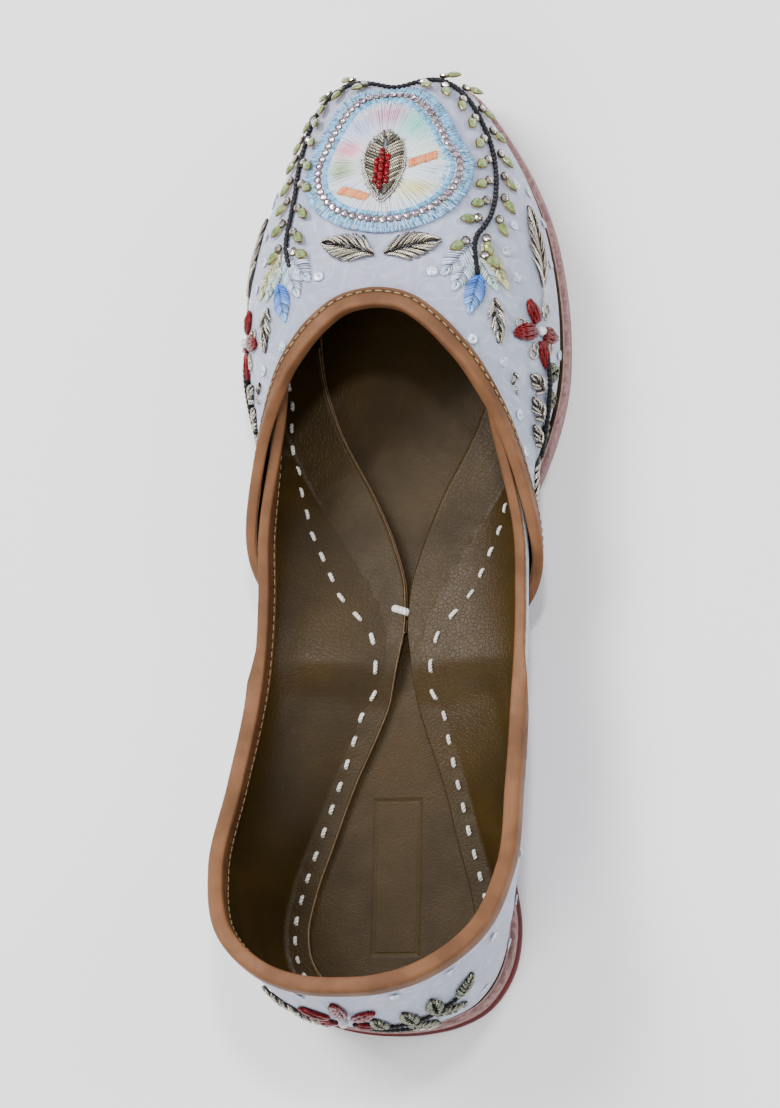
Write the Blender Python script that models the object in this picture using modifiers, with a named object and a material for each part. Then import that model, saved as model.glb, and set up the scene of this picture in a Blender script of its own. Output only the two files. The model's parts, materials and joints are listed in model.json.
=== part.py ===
"""An embroidered slip-on shoe of the jutti kind, cut on a straight last so that either foot
wears it. It stands on its sole: X to the right, Y toward the toe, Z up, and the origin below
its middle, on the floor.

The upper is two leather and cloth shells lasted on one form. The quarter wraps the heel and
runs forward on both sides. The vamp covers the toe, and its wings lie outside the quarter and
slope down to the sole at the waist. Both shells turn inward at the foot and lie on the insole
as flaps, which is where the thread that holds them to the sole goes through.
"""

import bmesh
import bpy
import numpy as np

MM = 0.001

# Driving dimensions
LENGTH = 250 * MM
BALL_WIDTH = 84.5 * MM
BACK_HEIGHT = 60 * MM
SOLE = 3.0 * MM
INSOLE = 1.5 * MM
HEEL_LIFT = 3.0 * MM
TOE_SPRING = 9.0 * MM
ARCH = 2.0 * MM
WALL = 1.6 * MM
BINDING = 0.8 * MM
THROAT_LEG = 4.2 * MM
COLLAR_LEG = 6.0 * MM
COLLAR_BACK_LEG = 3.4 * MM
MEDALLION_HALF = 20.0 * MM
MEDALLION_RISE = 1.0 * MM
NOTCH = 2.6 * MM

# Clearances between pieces that are sewn or glued in the real shoe
GAP = 0.3 * MM
FLAP_GAP = 0.45 * MM
LAP_GAP = 0.8 * MM
FOLD_GAP = 0.45 * MM

# Smaller dimensions
TURN = 3.4 * MM
FOOT_INSET = 1.0 * MM
INSOLE_INSET = 1.2 * MM
SOLE_EDGE = 0.5 * MM
LIFT_LARGER = 0.4 * MM
LIFT_BREAST = 0.207
LIFT_SLANT = 2.4 * MM
NOTCH_HALF = 8.0 * MM
NOTCH_REACH = 24.0 * MM
MEDALLION_PLACE = 0.55

HALF = BALL_WIDTH / 2
LAP = WALL + LAP_GAP
HEEL_STEP = HEEL_LIFT + GAP

# Half of the sole's outline, from the toe to the heel. along: share of LENGTH from the heel.
# half: share of half the ball's width.
OUTLINE = np.array(
    [
        (1.0000, 0.000),
        (1.0000, 0.160),
        (0.9965, 0.310),
        (0.9850, 0.435),
        (0.9665, 0.527),
        (0.9480, 0.600),
        (0.9040, 0.752),
        (0.8417, 0.900),
        (0.7890, 0.967),
        (0.7290, 1.000),
        (0.6700, 0.982),
        (0.6150, 0.900),
        (0.5616, 0.766),
        (0.5175, 0.617),
        (0.4750, 0.471),
        (0.4368, 0.347),
        (0.4049, 0.276),
        (0.3836, 0.270),
        (0.3577, 0.302),
        (0.3257, 0.367),
        (0.2785, 0.472),
        (0.2055, 0.608),
        (0.1500, 0.708),
        (0.1005, 0.748),
        (0.0600, 0.703),
        (0.0244, 0.556),
        (0.0085, 0.370),
        (0.0020, 0.190),
        (0.0000, 0.000),
    ]
)

# The last's side, rib by rib. place: 0 at the middle of the toe, 1 at the middle of the heel,
# measured round the outline. top_half, top_along, top_height: the top line that the foot goes
# in by, as shares of HALF, LENGTH and BACK_HEIGHT. low_out, low_up: how the side leaves the
# foot of the rib. high_out, high_up: how it comes to the top line. flap: the width turned in
# from the outline. Those five are shares of HALF, except low_up and high_up of BACK_HEIGHT.
RIBS = np.array(
    [
        (0.00, 0.000, 0.732, 0.672, 0.019, 0.18, 0.66, -0.05, 0.33),
        (0.08, 0.170, 0.726, 0.680, 0.019, 0.18, 0.63, -0.05, 0.33),
        (0.16, 0.300, 0.711, 0.684, 0.019, 0.19, 0.54, -0.06, 0.36),
        (0.24, 0.425, 0.689, 0.672, 0.012, 0.19, 0.40, -0.09, 0.40),
        (0.32, 0.560, 0.655, 0.636, 0.006, 0.17, 0.22, -0.13, 0.44),
        (0.40, 0.715, 0.594, 0.552, 0.030, 0.15, 0.09, -0.16, 0.46),
        (0.48, 0.825, 0.513, 0.467, 0.215, 0.07, 0.04, -0.16, 0.46),
        (0.56, 0.838, 0.435, 0.435, 0.400, 0.05, 0.03, -0.16, 0.35),
        (0.60, 0.840, 0.386, 0.443, 0.470, 0.05, 0.03, -0.17, 0.23),
        (0.64, 0.845, 0.338, 0.475, 0.420, 0.06, 0.03, -0.20, 0.24),
        (0.72, 0.878, 0.241, 0.585, 0.250, 0.10, 0.05, -0.25, 0.23),
        (0.80, 0.900, 0.150, 0.733, 0.120, 0.15, 0.04, -0.30, 0.23),
        (0.86, 0.785, 0.085, 0.865, 0.085, 0.17, 0.07, -0.33, 0.22),
        (0.92, 0.485, 0.040, 0.965, 0.075, 0.17, 0.09, -0.36, 0.22),
        (0.96, 0.243, 0.026, 1.000, 0.070, 0.17, 0.10, -0.36, 0.22),
        (1.00, 0.000, 0.023, 1.005, 0.070, 0.17, 0.10, -0.36, 0.22),
    ]
)

# How far up the last's side each shell reaches. place, reach.
VAMP_EDGE = np.array(
    [
        (0.00, 1.00),
        (0.43, 1.00),
        (0.47, 0.98),
        (0.50, 0.91),
        (0.53, 0.76),
        (0.56, 0.52),
        (0.585, 0.27),
    ]
)
QUARTER_EDGE = np.array(
    [(0.30, 0.80), (0.36, 0.86), (0.42, 0.93), (0.47, 0.98), (0.52, 1.00), (1.00, 1.00)]
)

# How far each binding reaches over the outside of the collar, 0 flush and 1 a full leg
COLLAR_REACH = np.array([(0.30, 0.0), (0.60, 0.0), (0.66, 1.0), (1.00, 1.0)])

# The slight sideways bend of a last that was used by hand. along, shift in millimetres.
BEND = np.array(
    [(0.0, 0.0), (0.15, 0.3), (0.40, 2.4), (0.60, 1.5), (0.75, 0.4), (1.0, 0.0)]
)

# The medallion's outline. turn: share of a half turn from the toe. radius: share of its half.
MEDALLION = np.array(
    [(0.0, 1.12), (0.25, 0.99), (0.5, 0.97), (0.68, 1.03), (0.84, 1.07), (1.0, 1.05)]
)

# The medallion's cross-section from its rim to its middle. radius, rise: shares.
MEDALLION_DOME = np.array(
    [(1.00, 0.35), (0.97, 0.85), (0.84, 1.10), (0.70, 0.95), (0.45, 0.90), (0.22, 1.30), (0.10, 1.60)]
)

# Where the columns of the shells stand round the outline, shared so that both shells bend alike
PLACES = np.concatenate(
    [
        np.linspace(0.0, 0.28, 12),
        np.linspace(0.30, 0.585, 15),
        np.linspace(0.61, 0.79, 8),
        np.linspace(0.82, 1.0, 9),
    ]
)
FLAP_ROWS = (-2.0, -1.0)
TURN_ROWS = (-0.66, -0.33, 0.0)
WALL_ROWS = (0.12, 0.24, 0.36, 0.48, 0.60, 0.73, 0.86, 1.0)
OUTLINE_POINTS = 76


def curve_through(at, knots, values):
    """A smooth curve through rows of values, its slope at each row set by both neighbours."""
    step = np.diff(knots)
    rate = np.diff(values, axis=0) / step[:, None]
    slope = np.empty_like(values)
    slope[0] = rate[0]
    slope[-1] = rate[-1]
    near = step[1:, None] * rate[:-1] + step[:-1, None] * rate[1:]
    slope[1:-1] = near / (step[1:] + step[:-1])[:, None]
    at = np.clip(at, knots[0], knots[-1])
    row = np.clip(np.searchsorted(knots, at, side="right") - 1, 0, len(step) - 1)
    t = ((at - knots[row]) / step[row])[:, None]
    width = step[row][:, None]
    start = (2 * t**3 - 3 * t**2 + 1) * values[row]
    leave = (t**3 - 2 * t**2 + t) * width * slope[row]
    end = (3 * t**2 - 2 * t**3) * values[row + 1]
    arrive = (t**3 - t**2) * width * slope[row + 1]
    return start + leave + end + arrive


def table_at(at, table):
    """One column of a table, read smoothly."""
    return curve_through(np.abs(at), table[:, 0], table[:, 1:2])[:, 0]


def reach_at(place, table):
    """How far up the side a shell reaches at each place."""
    return np.clip(table_at(place, table), 0.0, 1.0)


def both_sides(place, rows):
    """Rows over place 0 to 1, read for both sides of the shoe. The first value changes sign."""
    knots = np.concatenate([-rows[3:0:-1, 0], rows[:, 0], 2 - rows[-2:-5:-1, 0]])
    before = rows[3:0:-1, 1:].copy()
    after = rows[-2:-5:-1, 1:].copy()
    before[:, 0] *= -1
    after[:, 0] *= -1
    found = curve_through(np.abs(place), knots, np.vstack([before, rows[:, 1:], after]))
    found[:, 0] *= np.where(place < 0, -1, 1)
    return found


def measured_outline():
    """The outline with its points spread evenly along it: share of the way round, x and y."""
    x = OUTLINE[:, 1] * HALF
    y = (OUTLINE[:, 0] - 0.5) * LENGTH
    way = np.concatenate([[0], np.cumsum(np.hypot(np.diff(x), np.diff(y)))])
    rows = np.column_stack([way / way[-1], x, y])
    fine = both_sides(np.linspace(0, 1, 2001), rows)
    way = np.concatenate([[0], np.cumsum(np.hypot(*np.diff(fine, axis=0).T))])
    return way / way[-1], fine


WAY, FINE = measured_outline()


def wrapped(place):
    """A place past the middle of the heel or the toe, counted on the other side."""
    return (place + 1) % 2 - 1


def outline(place):
    """The sole's outline at each place, x and y."""
    share = np.abs(place)
    x = np.sign(place) * np.interp(share, WAY, FINE[:, 0])
    return np.column_stack([x, np.interp(share, WAY, FINE[:, 1])])


def outward(place):
    """The level direction out of the sole's outline at each place."""
    step = 0.004
    ahead = outline(wrapped(place + step)) - outline(wrapped(place - step))
    ahead /= np.hypot(*ahead.T)[:, None]
    return np.column_stack([-ahead[:, 1], ahead[:, 0]])


def eased(share):
    """0 to 1 with a level start and end."""
    share = np.clip(share, 0, 1)
    return share * share * (3 - 2 * share)


def under_sole(y):
    """The height of the outsole's underside: flat at the forefoot and the heel."""
    along = y / LENGTH + 0.5
    spring = TOE_SPRING * np.clip((along - 0.84) / 0.16, 0, None) ** 2
    step = HEEL_STEP * eased((0.5 - along) / 0.28)
    hump = ARCH * np.sin(np.pi * np.clip((along - 0.22) / 0.30, 0, 1)) ** 2
    return spring + step + hump


def slant(y):
    """How much taller a layer measures where the sole slopes up, as at the toe."""
    step = 0.5 * MM
    slope = (under_sole(y + step) - under_sole(y - step)) / (2 * step)
    return np.sqrt(1 + slope * slope)


def flap_floor(y):
    """The height that the turned-in flaps lie at. Where the vamp runs, the quarter is above it."""
    along = y / LENGTH + 0.5
    layers = SOLE + GAP + INSOLE + FLAP_GAP + LAP * eased((along - 0.33) / 0.05)
    return under_sole(y) + layers * slant(y)


def last(place, row):
    """The quarter's outer face. row -2 to -1: the flap. -1 to 0: the turn. 0 to 1: the side."""
    place, row = np.broadcast_arrays(np.asarray(place, float), np.asarray(row, float))
    rib = both_sides(place, RIBS)
    n = outward(place)
    edge = outline(place)
    inset = FOOT_INSET + LAP * eased((edge[:, 1] / LENGTH + 0.5 - 0.33) / 0.05)
    steep = np.arctan2(rib[:, 4] * BACK_HEIGHT, rib[:, 3] * HALF)
    angle = steep * np.clip(row + 1, 0, 1)
    turn_in = inset + TURN * (1 - np.sin(angle))
    flap_in = inset + TURN + (rib[:, 7] * HALF - inset - TURN) * np.clip(-1 - row, 0, 1)
    back = np.where(row < -1, flap_in, turn_in)
    level = edge - n * back[:, None]
    height = flap_floor(level[:, 1]) + np.where(row < -1, 0, TURN * (1 - np.cos(angle)))
    foot = np.column_stack([level, height])
    out = np.column_stack([n, np.zeros(len(n))])
    up = np.array([0.0, 0.0, 1.0])
    top = np.column_stack([rib[:, 0] * HALF, (rib[:, 1] - 0.5) * LENGTH, rib[:, 2] * BACK_HEIGHT])
    low = foot + out * rib[:, 3:4] * HALF + up * rib[:, 4:5] * BACK_HEIGHT
    high = top + out * rib[:, 5:6] * HALF + up * rib[:, 6:7] * BACK_HEIGHT
    t = np.clip(row, 0, 1)[:, None]
    return (1 - t) ** 3 * foot + 3 * (1 - t) ** 2 * t * low + 3 * (1 - t) * t**2 * high + t**3 * top


def slopes(place, row):
    """How the last's face moves with place and with row."""
    d = 0.003
    by_place = (last(wrapped(place + d), row) - last(wrapped(place - d), row)) / (2 * d)
    above = np.minimum(row + d, 1.0)
    below = np.maximum(row - d, -2.0)
    by_row = (last(place, above) - last(place, below)) / (above - below)[:, None]
    return by_place, by_row


def facing(place, row):
    """The direction out of the last's face."""
    by_place, by_row = slopes(place, row)
    out = np.cross(by_row, by_place)
    return out / np.linalg.norm(out, axis=1)[:, None]


def over_last(place, row, off):
    """Points that far outside the last's face."""
    return last(place, row) + facing(place, row) * np.asarray(off)[..., None]


def walked(place, row, way, steps=8):
    """The place and row reached by going that way along the last's face, a vector per point."""
    place = np.array(place, float)
    row = np.array(row, float)
    for _ in range(steps):
        by_place, by_row = slopes(place, row)
        a = (by_place**2).sum(1)
        b = (by_place * by_row).sum(1)
        c = (by_row**2).sum(1)
        e = (by_place * way).sum(1) / steps
        f = (by_row * way).sum(1) / steps
        det = a * c - b * b
        more_place = (c * e - b * f) / det
        more_row = (a * f - b * e) / det
        moved = by_place * more_place[:, None] + by_row * more_row[:, None]
        full = np.linalg.norm(way, axis=1) / steps
        scale = full / np.maximum(np.linalg.norm(moved, axis=1), 1e-9)
        place = wrapped(place + more_place * scale)
        row = np.clip(row + more_row * scale, 0.0, 1.0)
    return place, row


def bent(points):
    """The last's sideways bend and the toe's notch, given to every piece alike."""
    points = np.array(points, float)
    along = np.clip(points[..., 1] / LENGTH + 0.5, 0, 1)
    flat = along.reshape(-1)
    shift = curve_through(flat, BEND[:, 0], BEND[:, 1:2])[:, 0].reshape(along.shape)
    near_toe = eased((points[..., 1] - (LENGTH / 2 - NOTCH_REACH)) / NOTCH_REACH)
    dip = NOTCH * np.exp(-((points[..., 0] / NOTCH_HALF) ** 2)) * near_toe
    points[..., 0] += shift * MM
    points[..., 1] -= dip
    return points


def clear_scene():
    """An empty file."""
    for obj in list(bpy.data.objects):
        bpy.data.objects.remove(obj, do_unlink=True)


def make_material(name, colour, roughness, coat=0.0):
    """A plain surface colour."""
    material = bpy.data.materials.new(name)
    material.use_nodes = True
    shader = material.node_tree.nodes["Principled BSDF"]
    shader.inputs["Base Color"].default_value = (*colour, 1.0)
    shader.inputs["Roughness"].default_value = roughness
    shader.inputs["Coat Weight"].default_value = coat
    return material


def place_mesh(name, points, faces, collection, material, closed):
    """A mesh object, its faces turned out when it is closed."""
    mesh = bpy.data.meshes.new(name)
    mesh.from_pydata([tuple(p) for p in bent(points)], [], [tuple(f) for f in faces])
    if closed:
        shape = bmesh.new()
        shape.from_mesh(mesh)
        bmesh.ops.recalc_face_normals(shape, faces=shape.faces)
        shape.to_mesh(mesh)
        shape.free()
    mesh.materials.append(material)
    obj = bpy.data.objects.new(name, mesh)
    collection.objects.link(obj)
    return obj


def shell(name, columns, edge, off, collection, material):
    """A lasted shell of leather: flap, turn and side, one wall thick toward the foot."""
    rows = len(FLAP_ROWS) + len(TURN_ROWS) + len(WALL_ROWS)
    reach = reach_at(columns, edge)
    low = np.array(FLAP_ROWS + TURN_ROWS)
    grid = []
    for row in low:
        grid.append(over_last(columns, np.full(len(columns), row), off))
    for share in WALL_ROWS:
        grid.append(over_last(columns, reach * share, off))
    points = np.array(grid).reshape(-1, 3)
    count = len(columns)
    faces = []
    for i in range(rows - 1):
        for j in range(count - 1):
            a = i * count + j
            faces.append((a, a + count, a + count + 1, a + 1))
    obj = place_mesh(name, points, faces, collection, material, closed=False)
    leather = obj.modifiers.new("Leather", "SOLIDIFY")
    leather.thickness = WALL
    leather.offset = -1.0
    leather.use_even_offset = True
    return obj


def stacked(name, rings, collection, material):
    """A solid through closed rings whose points run round both sides, flat at both ends."""
    count = len(rings[0])
    points = np.array(rings).reshape(-1, 3)
    faces = []
    for i in range(len(rings) - 1):
        for j in range(count):
            k = (j + 1) % count
            a = i * count
            faces.append((a + j, a + k, a + count + k, a + count + j))
    for base in (0, (len(rings) - 1) * count):
        for j in range(count // 2):
            ring = [j, j + 1, (count - j - 1) % count, (count - j) % count]
            faces.append(tuple(base + v for v in dict.fromkeys(ring)))
    return place_mesh(name, points, faces, collection, material, closed=True)


def sole_layer(name, inset, lift, thickness, collection, material):
    """A layer of the sole, its edges eased, lying at a height above the outsole's underside."""
    place = wrapped(np.arange(OUTLINE_POINTS) * 2 / OUTLINE_POINTS)
    rim = outline(place) - outward(place) * inset
    spine = np.column_stack([np.zeros(len(rim)), np.clip(rim[:, 1], -0.41 * LENGTH, 0.42 * LENGTH)])
    ease = SOLE_EDGE * min(1.0, thickness / SOLE)
    inner = (0.15, 0.5, 0.85)
    rings = []
    for share in inner:
        rings.append((spine + (rim - spine) * share, 0.0))
    rings.append((rim - outward(place) * ease, 0.0))
    rings.append((rim, ease))
    rings.append((rim, thickness - ease))
    rings.append((rim - outward(place) * ease, thickness))
    for share in reversed(inner):
        rings.append((spine + (rim - spine) * share, thickness))
    solid = [
        np.column_stack([level, under_sole(level[:, 1]) + (lift + height) * slant(level[:, 1])])
        for level, height in rings
    ]
    return stacked(name, solid, collection, material)


def heel_lift(name, collection, material):
    """The lift below the heel, cut flat across the front and a little larger than the sole."""
    place = wrapped(np.linspace(0.5, 1.5, 121))
    rim = outline(place) + outward(place) * LIFT_LARGER
    breast = (LIFT_BREAST - 0.5) * LENGTH + np.sign(rim[:, 0]) * LIFT_SLANT / 2
    kept = rim[rim[:, 1] < breast - 0.5 * MM]
    right = [kept[0, 0], (LIFT_BREAST - 0.5) * LENGTH + LIFT_SLANT / 2]
    left = [kept[-1, 0], (LIFT_BREAST - 0.5) * LENGTH - LIFT_SLANT / 2]
    ring = np.vstack([right, kept, left])
    level = bent(np.column_stack([ring, np.zeros(len(ring))]))
    curve = bpy.data.curves.new(name, "CURVE")
    curve.dimensions = "2D"
    curve.fill_mode = "BOTH"
    curve.extrude = HEEL_LIFT / 2
    spline = curve.splines.new("POLY")
    spline.points.add(len(level) - 1)
    for point, at in zip(spline.points, level):
        point.co = (at[0], at[1], 0.0, 1.0)
    spline.use_cyclic_u = True
    curve.materials.append(material)
    obj = bpy.data.objects.new(name, curve)
    obj.location = (0, 0, HEEL_LIFT / 2)
    collection.objects.link(obj)
    return obj


def binding(name, columns, edge, off, sections, collection, material):
    """A leather strip folded over a shell's edge. sections: out, up pairs at each column."""
    reach = reach_at(columns, edge)
    rim = over_last(columns, reach, off)
    ahead = np.gradient(rim, axis=0)
    ahead /= np.linalg.norm(ahead, axis=1)[:, None]
    out = facing(columns, reach)
    up = np.cross(out, ahead)
    up *= np.where(columns_turn(up), 1, -1)[:, None]
    up /= np.linalg.norm(up, axis=1)[:, None]
    rings = []
    for point in range(sections.shape[1]):
        lateral = sections[:, point, 0]
        rise = sections[:, point, 1]
        below = np.minimum(rise, 0)
        place, row = walked(columns, reach, up * below[:, None])
        on_face = over_last(place, row, off + lateral)
        above = rim + out * lateral[:, None] + up * rise[:, None]
        rings.append(np.where((rise < 0)[:, None], on_face, above))
    grid = np.array(rings)
    sides, count = grid.shape[:2]
    points = grid.transpose(1, 0, 2).reshape(-1, 3)
    faces = []
    for j in range(count - 1):
        for i in range(sides):
            k = (i + 1) % sides
            faces.append((j * sides + i, j * sides + k, (j + 1) * sides + k, (j + 1) * sides + i))
    faces.append(tuple(range(sides)))
    faces.append(tuple((count - 1) * sides + i for i in range(sides)))
    return place_mesh(name, points, faces, collection, material, closed=True)


def columns_turn(up):
    """Whether each rim direction already points away from the shell, which is mostly upward."""
    return up[:, 2] > 0


def throat_section(count):
    """The strip on the vamp's edge: a leg outside, and over the top as far as the inner face."""
    b = BINDING
    one = np.array(
        [
            (FOLD_GAP, -THROAT_LEG),
            (FOLD_GAP, -THROAT_LEG / 2),
            (FOLD_GAP, FOLD_GAP),
            (-WALL, FOLD_GAP),
            (-WALL, FOLD_GAP + 0.6 * b),
            (-WALL + 0.5 * b, FOLD_GAP + b),
            (0.0, FOLD_GAP + b),
            (FOLD_GAP + 0.75 * b, FOLD_GAP + 0.6 * b),
            (FOLD_GAP + b, -0.4 * b),
            (FOLD_GAP + b, -THROAT_LEG / 2),
            (FOLD_GAP + 0.75 * b, -THROAT_LEG),
        ]
    )
    return np.repeat(one[None], count, axis=0)


def collar_section(columns):
    """The strip on the quarter's edge: a leg inside, over the top, and a leg behind the vamp."""
    b = BINDING
    inside = -WALL - FOLD_GAP
    flush = np.array(
        [
            (inside, -COLLAR_LEG),
            (inside, -COLLAR_LEG / 2),
            (inside, FOLD_GAP),
            (-0.35 * b, FOLD_GAP),
            (-0.15 * b, FOLD_GAP + 0.15 * b),
            (0.0, FOLD_GAP + 0.35 * b),
            (0.0, FOLD_GAP + 0.6 * b),
            (-0.4 * b, FOLD_GAP + b),
            (inside, FOLD_GAP + b),
            (inside - 0.75 * b, FOLD_GAP + 0.6 * b),
            (inside - b, -0.4 * b),
            (inside - b, -COLLAR_LEG / 2),
            (inside - 0.75 * b, -COLLAR_LEG),
        ]
    )
    full = flush.copy()
    full[3] = (FOLD_GAP, FOLD_GAP)
    full[4] = (FOLD_GAP, -COLLAR_BACK_LEG)
    full[5] = (FOLD_GAP + 0.75 * b, -COLLAR_BACK_LEG)
    full[6] = (FOLD_GAP + b, -0.4 * b)
    full[7] = (FOLD_GAP + 0.5 * b, FOLD_GAP + 0.8 * b)
    reach = reach_at(columns, COLLAR_REACH)[:, None]
    over = np.clip(reach * 2, 0, 1)
    down = np.clip(reach * 2 - 1, 0, 1)
    lateral = flush[:, 0] * (1 - over) + full[:, 0] * over
    rise = flush[:, 1] * (1 - down) + full[:, 1] * down
    return np.stack([lateral, rise], axis=2)


def medallion(name, collection, material):
    """The raised medallion on the toe, its dome following the vamp."""
    count = 40
    turn = np.arange(count) * 2 / count
    radius = table_at(np.where(turn > 1, 2 - turn, turn), MEDALLION) * MEDALLION_HALF
    level = np.column_stack([np.sin(turn * np.pi), np.cos(turn * np.pi), np.zeros(count)])
    rings = []
    shares = [(row[0], row[1]) for row in MEDALLION_DOME]
    under = [(share, 0.0) for share, _ in reversed(shares[::2])]
    for share, rise in under + shares:
        way = level * (radius * share)[:, None]
        start = np.zeros(count)
        place, row = walked(start, np.full(count, MEDALLION_PLACE), way, steps=12)
        rings.append(over_last(place, row, LAP + FOLD_GAP + MEDALLION_RISE * rise))
    return stacked(name, rings, collection, material)


def build():
    """Every piece of the shoe, in its own collection."""
    clear_scene()
    shoe = bpy.data.collections.new("embroidered_jutti")
    bpy.context.scene.collection.children.link(shoe)
    red = make_material("red_leather", (0.42, 0.012, 0.012), 0.3, 0.4)
    heel = make_material("heel_rubber", (0.16, 0.035, 0.025), 0.75)
    brown = make_material("lining_leather", (0.085, 0.05, 0.022), 0.5)
    cloth = make_material("pale_cloth", (0.52, 0.55, 0.68), 0.6)
    tan = make_material("tan_leather", (0.36, 0.16, 0.075), 0.5)
    beads = make_material("beadwork", (0.55, 0.68, 0.82), 0.3)

    sole_layer("outsole", 0.0, 0.0, SOLE, shoe, red)
    sole_layer("insole", INSOLE_INSET, SOLE + GAP, INSOLE, shoe, brown)
    heel_lift("heel_lift", shoe, heel)

    ahead = PLACES[PLACES <= 0.5851]
    vamp_columns = np.concatenate([-ahead[:0:-1], ahead])
    behind = PLACES[PLACES >= 0.2999]
    quarter_columns = np.concatenate([behind, 2 - behind[-2::-1]])
    shell("vamp", vamp_columns, VAMP_EDGE, LAP, shoe, cloth)
    shell("quarter", wrapped_for(quarter_columns), QUARTER_EDGE, 0.0, shoe, cloth)

    binding(
        "throat_binding",
        vamp_columns,
        VAMP_EDGE,
        LAP,
        throat_section(len(vamp_columns)),
        shoe,
        tan,
    )
    binding(
        "collar_binding",
        wrapped_for(quarter_columns),
        QUARTER_EDGE,
        0.0,
        collar_section(wrapped_for(quarter_columns)),
        shoe,
        tan,
    )
    medallion("toe_medallion", shoe, beads)


def wrapped_for(columns):
    """Columns counted past the heel, told as places on the left side."""
    return np.where(columns > 1, columns - 2, columns)


build()
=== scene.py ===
"""The looks of one embroidered jutti: pale satin over leather, tan bound edges, a red leather sole
sewn with white thread, and a beaded medallion, vine and flowers on the toe.

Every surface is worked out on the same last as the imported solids. A spot on the last is a place
round the shoe, 0 at the middle of the toe and 1 at the middle of the heel, right side positive,
and a row up its side, 0 at the foot and 1 at the top line. Motifs are drawn flat in millimetres
and laid on the last from a spot.
"""

import json

import bpy
import numpy as np
from bpy.props import FloatProperty, FloatVectorProperty, IntProperty, PointerProperty
from mathutils import Matrix

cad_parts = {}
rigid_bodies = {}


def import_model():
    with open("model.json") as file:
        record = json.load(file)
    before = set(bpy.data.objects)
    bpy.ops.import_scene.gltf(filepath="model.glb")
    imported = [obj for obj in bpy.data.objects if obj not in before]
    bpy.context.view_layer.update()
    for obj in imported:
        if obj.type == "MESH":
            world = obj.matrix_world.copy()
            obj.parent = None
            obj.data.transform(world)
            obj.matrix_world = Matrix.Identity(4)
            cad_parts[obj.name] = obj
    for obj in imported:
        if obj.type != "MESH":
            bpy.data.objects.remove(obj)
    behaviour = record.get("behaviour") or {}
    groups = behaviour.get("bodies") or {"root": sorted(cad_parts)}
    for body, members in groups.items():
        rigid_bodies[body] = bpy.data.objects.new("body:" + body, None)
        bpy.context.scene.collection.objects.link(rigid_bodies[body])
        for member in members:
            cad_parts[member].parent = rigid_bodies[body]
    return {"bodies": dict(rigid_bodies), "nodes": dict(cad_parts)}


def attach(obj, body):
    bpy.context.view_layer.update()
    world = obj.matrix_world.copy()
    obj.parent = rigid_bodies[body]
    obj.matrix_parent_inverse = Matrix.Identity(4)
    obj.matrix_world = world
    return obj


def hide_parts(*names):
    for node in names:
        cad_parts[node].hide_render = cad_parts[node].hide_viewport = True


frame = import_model()

bl_info = {
    "name": "Embroidered jutti", "version": (1, 0, 0), "blender": (4, 5, 0),
    "location": "View3D > Sidebar > Jutti",
    "description": "Builds the looks of an embroidered slip-on shoe over its packed solids",
    "category": "Object"
}

MM = 0.001

# The last that the solids are lasted on
LENGTH = 250 * MM
HALF = 84.5 * MM / 2
BACK_HEIGHT = 60 * MM
SOLE = 3.0 * MM
INSOLE = 1.5 * MM
HEEL_LIFT = 3.0 * MM
TOE_SPRING = 9.0 * MM
ARCH = 2.0 * MM
WALL = 1.6 * MM
BINDING = 0.8 * MM
THROAT_LEG = 3.6 * MM
COLLAR_LEG = 6.0 * MM
COLLAR_BACK_LEG = 3.4 * MM
GAP = 0.3 * MM
FLAP_GAP = 0.45 * MM
FOLD_GAP = 0.45 * MM
LAP = WALL + 0.8 * MM
TURN = 3.4 * MM
FOOT_INSET = 1.0 * MM
INSOLE_INSET = 1.2 * MM
LIFT_BREAST = 0.207
LIFT_SLANT = 2.4 * MM
LIFT_LARGER = 0.4 * MM
NOTCH = 2.6 * MM
NOTCH_HALF = 8.0 * MM
NOTCH_REACH = 24.0 * MM

# The seams, the creases and the hand stitches
THROAT_SEAM = 2.4 * MM
COLLAR_SEAM = 4.4 * MM
SEAM_STITCH = 1.5 * MM
PUCKER = 0.1 * MM
PUCKER_PITCH = 6.2 * MM
SIDE_CLIMB = 46.0
STITCH_INSET = 5.5 * MM
WAIST_SHIFT = 2.6 * MM
STITCH_DIVE = 0.6 * MM
STITCH_CLEAR = 0.4 * MM
SOLE_THREAD = 0.66 * MM
FLAP_THREAD = 0.55 * MM
TACK_THREAD = 1.0 * MM
STITCH_STEPS = 7
DIMPLE = 0.5 * MM
DIMPLE_REACH = 1.5 * MM
HEEL_HALF = 30 * MM
BEAD_PITCH = 1.35 * MM

# Where the vamp ends and the quarter starts, as places
VAMP_END = 0.585
QUARTER_START = 0.3

# Half of the sole's outline. along: share of LENGTH from the heel. half: share of HALF.
OUTLINE = np.array([
    (1, 0), (1, 0.16), (0.9965, 0.31), (0.985, 0.435), (0.9665, 0.527), (0.948, 0.6),
    (0.904, 0.752), (0.8417, 0.9), (0.789, 0.967), (0.729, 1), (0.67, 0.982), (0.615, 0.9),
    (0.5616, 0.766), (0.5175, 0.617), (0.475, 0.471), (0.4368, 0.347), (0.4049, 0.276),
    (0.3836, 0.27), (0.3577, 0.302), (0.3257, 0.367), (0.2785, 0.472), (0.2055, 0.608),
    (0.15, 0.708), (0.1005, 0.748), (0.06, 0.703), (0.0244, 0.556), (0.0085, 0.37), (0.002, 0.19),
    (0, 0)
])

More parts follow.
